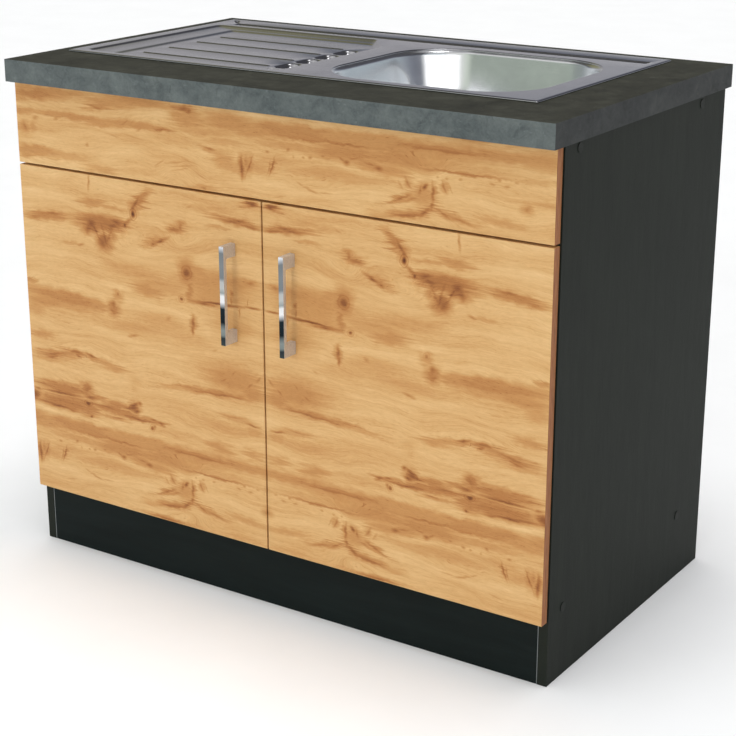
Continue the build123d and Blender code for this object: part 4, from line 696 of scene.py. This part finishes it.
def sink_bowl():
    bm = bmesh.new()
    bx0, bx1, by0, by1, br = -4.0, 368.0, 140.0, 485.0, 100.0
    R = 2.2
    tap = math.tan(math.radians(4.0))
    rings = []
    top = DZ - R
    fr = 27.0
    zf = 703.0
    H = top - (zf + fr)
    def wall(i):
        """Right wall straight at the draft angle, the other walls flare out towards the rim: insets and drop of ring i."""
        d = H * i / 16.0
        flare = R
        for k in range(i):
            m = (k + 0.5) * H / 16.0
            ang = 13.0 if m < 60.0 else max(2.0, 13.0 - (m - 60.0) * 0.5)
            flare += H / 16.0 * math.tan(math.radians(ang))
        k = min(1.0, d / 12.0)
        straight = 4.6 + max(0.0, DZ - 4.6 - (top - d)) * tap
        return R + (straight - R) * k * k * (3 - 2 * k), flare, d
    for i in range(17):
        e, fl, d = wall(i)
        rings.append(rr(bx0 + fl, bx1 - e, by0 + fl, by1 - fl, br - 0.5 * (e + fl), top - d, 24))
    e0, f0, d0 = wall(16)
    for i in range(1, 11):
        a = math.radians(90.0 * i / 10)
        more = fr * (1 - math.cos(a))
        z = zf + fr - fr * math.sin(a)
        rings.append(rr(bx0 + f0 + more, bx1 - e0 - more, by0 + f0 + more, by1 - f0 - more, max(20.0, br - 0.5 * (e0 + f0) - more), z, 24))
    vs = loft(bm, rings)
    # flat floor to the waste hole
    cx, cy = 182.0, 312.0
    n = len(rings[-1])
    cir = []
    for p in rings[-1]:
        a = math.atan2(p[1] - cy, p[0] - cx)
        cir.append((cx + 46.0 * math.cos(a), cy + 46.0 * math.sin(a), zf))
    midr = [tuple(rings[-1][i][k] * 0.5 + cir[i][k] * 0.5 for k in range(3)) for i in range(n)]
    mv, cv = ring_verts(bm, midr), ring_verts(bm, cir)
    bridge(bm, vs[-1], mv)
    bridge(bm, mv, cv)
    bmesh.ops.recalc_face_normals(bm, faces=bm.faces[:])
    flat = [f for f in bm.faces if abs(f.normal.z) > 0.9]
    if sum(f.normal.z * f.calc_area() for f in flat) < 0:
        bmesh.ops.reverse_faces(bm, faces=bm.faces[:])
    o = finish_piece("sink_bowl_shell", bm, bowl_m, "cabinet")
    s = o.modifiers.new("sheet", "SOLIDIFY")
    s.thickness = 0.0008
    s.offset = -1.0
    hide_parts("sink_bowl")
    return o


sink_deck()
sink_bowl()


# ------------------------------------------------------------------ corrugated overflow hose
HOSE_ROUTE = [(0.37431, 0.019, 0.787), (0.37431, 0.019, 0.723), (0.36631, 0.019, 0.611), (0.31231, 0.019, 0.607), (0.284, 0.019, 0.673), (0.240, 0.019, 0.673)]


def overflow_hose():
    cu = bpy.data.curves.new("hose_line", "CURVE")
    cu.dimensions = "3D"
    cu.resolution_u = 150
    sp = cu.splines.new("NURBS")
    sp.points.add(len(HOSE_ROUTE) - 1)
    for q, p in zip(sp.points, HOSE_ROUTE):
        q.co = (p[0], p[1], p[2], 1.0)
    sp.order_u = 3
    sp.use_endpoint_u = True
    line = bpy.data.objects.new("hose_line", cu)
    bpy.context.scene.collection.objects.link(line)
    bpy.context.view_layer.update()
    me = bpy.data.meshes.new_from_object(line)
    path = [v.co.copy() for v in me.vertices]
    bpy.data.objects.remove(line)
    bpy.data.meshes.remove(me)
    along = [0.0]
    for a, b in zip(path, path[1:]):
        along.append(along[-1] + (b - a).length)
    total = along[-1]
    seg = 28
    bm = bmesh.new()

    def ring(i, r):
        t = (path[min(i + 1, len(path) - 1)] - path[max(i - 1, 0)]).normalized()
        side = Vector((-t.z, 0.0, t.x))
        return [bm.verts.new(path[i] + side * (r * math.cos(2 * math.pi * k / seg)) + Vector((0, r * math.sin(2 * math.pi * k / seg), 0))) for k in range(seg)]
    rings = [ring(0, 0.0110)]
    last = -1.0
    for i in range(len(path)):
        if i not in (0, len(path) - 1) and along[i] - last < 0.00055:
            continue
        last = along[i]
        cuff = min(1.0, max(0.0, (min(along[i], total - along[i]) - 0.015) / 0.002))
        rings.append(ring(i, 0.01345 - cuff * (0.0008 + 0.00075 * math.cos(2 * math.pi * along[i] / 0.0046))))
    rings.append(ring(len(path) - 1, 0.0110))
    for a, b in zip(rings, rings[1:]):
        bridge(bm, a, b)
    bm.faces.new(list(reversed(rings[0])))
    bm.faces.new(rings[-1])
    bmesh.ops.recalc_face_normals(bm, faces=bm.faces[:])
    o = finish_piece("overflow_hose_corrugated", bm, hose_m, "cabinet")
    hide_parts("overflow_hose")
    return o


overflow_hose()

# boards have slightly broken edges
for n in ("side_panel_left", "side_panel_right", "plinth_board", "front_panel", "worktop", "bottom_panel", "front_rail", "rear_rail", "door_left", "door_right"):
    bv = N[n].modifiers.new("edge", "BEVEL")
    bv.width = 0.0007 if n == "worktop" else 0.0004
    bv.segments = 2
    bv.limit_method = "ANGLE"
    bv.angle_limit = math.radians(60.0)
    bv.use_clamp_overlap = False


# ------------------------------------------------------------------ light and floor
def area(name, loc, target, size, size_y, power, color=(1, 1, 1)):
    d = bpy.data.lights.new(name, "AREA")
    d.shape = "RECTANGLE"
    d.size, d.size_y = size, size_y
    d.energy = power
    d.color = color
    o = bpy.data.objects.new(name, d)
    bpy.context.scene.collection.objects.link(o)
    o.location = loc
    o.rotation_mode = "QUATERNION"
    o.rotation_quaternion = (Vector(target) - Vector(loc)).to_track_quat("-Z", "Y")
    return o


key = area("key", (-1.0, -4.2, 2.0), (0, 0, 0.45), 3.6, 2.8, 6)
key.visible_glossy = False
sun_data = bpy.data.lights.new("overhead", "SUN")
sun_data.energy = 2.30
sun_data.angle = math.radians(50.0)
sun = bpy.data.objects.new("overhead", sun_data)
sun.location = (0, 0, 4)
bpy.context.scene.collection.objects.link(sun)

sun.visible_glossy = False
spark = area("sparkle", (0.34, 0.02, 2.70), (-0.30, 0.10, 0.85), 0.55, 0.55, 3)
spark.visible_camera = False

front_data = bpy.data.lights.new("frontal", "SUN")
front_data.energy = 0.41
front_data.angle = math.radians(7.0)
front_sun = bpy.data.objects.new("frontal", front_data)
front_sun.location = (-0.5, -4, 1.5)
front_sun.rotation_mode = "QUATERNION"
front_sun.rotation_quaternion = Vector((0.10, 1.0, -0.22)).to_track_quat("-Z", "Y")
front_sun.visible_glossy = False
bpy.context.scene.collection.objects.link(front_sun)

# studio round the object: pale above, with darker and lighter panels near the horizon for the metal to mirror
w = bpy.data.worlds.new("world")
bpy.context.scene.world = w
w.use_nodes = True
wt = w.node_tree
wt.nodes.clear()


def wramp(fac, stops):
    n = wt.nodes.new("ShaderNodeValToRGB")
    e = n.color_ramp.elements
    while len(e) < len(stops):
        e.new(0.5)
    for i, (p, c) in enumerate(stops):
        e[i].position = p
        e[i].color = tuple(c) + (1.0,)
    wt.links.new(fac, n.inputs[0])
    return n.outputs[0]


def wmath(op, a, b=None):
    n = wt.nodes.new("ShaderNodeMath")
    n.operation = op
    for i, v in enumerate((a, b)):
        if v is None:
            continue
        if isinstance(v, (int, float)):
            n.inputs[i].default_value = v
        else:
            wt.links.new(v, n.inputs[i])
    return n.outputs[0]


def wmix(f, a, b):
    n = wt.nodes.new("ShaderNodeMix")
    n.data_type = "RGBA"
    wt.links.new(f, n.inputs["Factor"])
    wt.links.new(a, n.inputs[6])
    wt.links.new(b, n.inputs[7])
    return n.outputs[2]


def wstep(v, a, b):
    n = wt.nodes.new("ShaderNodeMapRange")
    n.interpolation_type = "SMOOTHSTEP"
    wt.links.new(v, n.inputs["Value"])
    n.inputs["From Min"].default_value = a
    n.inputs["From Max"].default_value = b
    return n.outputs[0]


wtc = wt.nodes.new("ShaderNodeTexCoord")
wsep = wt.nodes.new("ShaderNodeSeparateXYZ")
wt.links.new(wtc.outputs["Generated"], wsep.inputs[0])
wx, wy, wz = wsep.outputs
turn = wmath("ADD", wmath("MULTIPLY", wmath("ARCTAN2", wy, wx), 0.5 / math.pi), 0.5)
low = wramp(turn, [(0.0, (0.85, 0.90, 0.95)), (0.035, (0.62, 0.66, 0.68)), (0.07, (0.36, 0.40, 0.40)), (0.12, (0.38, 0.43, 0.40)), (0.152, (0.50, 0.57, 0.50)), (0.163, (0.50, 0.57, 0.50)), (0.172, (0.35, 0.40, 0.35)), (0.178, (0.40, 0.45, 0.39)), (0.187, (0.66, 0.74, 0.64)), (0.205, (0.86, 0.94, 0.82)), (0.25, (1.0, 1.0, 1.0)), (0.448, (1.0, 1.0, 1.0)), (0.465, (0.70, 0.71, 0.74)),
                   (0.478, (0.03, 0.03, 0.04)), (0.515, (0.04, 0.04, 0.05)), (0.55, (0.38, 0.43, 0.48)), (0.60, (0.46, 0.53, 0.58)), (0.66, (0.55, 0.63, 0.69)), (0.76, (0.74, 0.79, 0.85)), (0.835, (0.60, 0.59, 0.62)), (0.87, (0.60, 0.59, 0.62)), (0.93, (0.60, 0.62, 0.64)), (1.0, (0.85, 0.90, 0.95))])
high = wramp(wz, [(0.0, (0.60, 0.59, 0.62)), (0.17, (0.58, 0.57, 0.61)), (0.27, (0.44, 0.44, 0.46)), (0.38, (0.36, 0.35, 0.22)), (0.54, (0.30, 0.29, 0.17)), (0.64, (0.12, 0.12, 0.11)), (1.0, (0.10, 0.10, 0.10))])
high_mid = wramp(wz, [(0.0, (0.60, 0.59, 0.62)), (0.16, (0.58, 0.58, 0.61)), (0.20, (0.36, 0.38, 0.44)), (0.28, (0.28, 0.30, 0.36)), (0.38, (0.10, 0.10, 0.12)), (1.0, (0.10, 0.10, 0.10))])
white = wramp(wz, [(0.0, (1.0, 1.0, 1.0)), (1.0, (1.0, 1.0, 1.0))])
blue_grey = wramp(wz, [(0.0, (0.43, 0.50, 0.56)), (1.0, (0.43, 0.50, 0.56))])
front_low = wmix(wmath("MULTIPLY", wstep(wz, 0.345, 0.39), wstep(turn, 0.31, 0.34)), low, blue_grey)
front_high = wmix(wstep(wz, 0.62, 0.76), front_low, white)
rear = wstep(wy, -0.27, -0.15)
upper_part = wmix(rear, front_high, wmix(wstep(turn, 0.846, 0.860), high_mid, high))
ceiling = wramp(wz, [(0.0, (0.50, 0.50, 0.52)), (1.0, (0.50, 0.50, 0.52))])
horizon = wramp(wz, [(0.0, (1.0, 1.0, 1.0)), (1.0, (1.0, 1.0, 1.0))])
sky = wmix(wstep(wz, 0.15, 0.24), low, upper_part)
sky = wmix(wstep(wz, 0.84, 0.93), sky, ceiling)
window = wramp(wz, [(0.0, (2.85, 2.85, 2.85)), (1.0, (2.85, 2.85, 2.85))])
tall = wmath("MULTIPLY", wstep(wz, 0.26, 0.28), wmath("SUBTRACT", 1.0, wstep(wz, 0.345, 0.365)))
broad = wmath("MULTIPLY", wstep(turn, 0.235, 0.265), wmath("SUBTRACT", 1.0, wstep(turn, 0.446, 0.458)))
sky = wmix(wmath("MULTIPLY", tall, broad), sky, window)
sky = wmix(wstep(wz, 0.036, 0.060), horizon, sky)
bg = wt.nodes.new("ShaderNodeBackground")
wo = wt.nodes.new("ShaderNodeOutputWorld")
wt.links.new(sky, bg.inputs[0])
bg.inputs[1].default_value = 0.70
wt.links.new(bg.outputs[0], wo.inputs[0])

fm = Mat("floor_pale")
fn = fm.noise(fm.pos(), 0.004, 3.0, 0.6)
fm.set(Base_Color=fm.mix(fm.mapr(fn, 0.3, 0.7), lin(248, 248, 248), lin(251, 251, 251)), Roughness=0.9)
bm = bmesh.new()
bmesh.ops.create_grid(bm, x_segments=4, y_segments=4, size=58.0)
me = bpy.data.meshes.new("floor")
bm.to_mesh(me)
bm.free()
me.materials.append(fm.m)
floor = bpy.data.objects.new("floor", me)
floor.location = (0, 0, -0.0005)
bpy.context.scene.collection.objects.link(floor)

bpy.context.scene.view_settings.view_transform = "Standard"
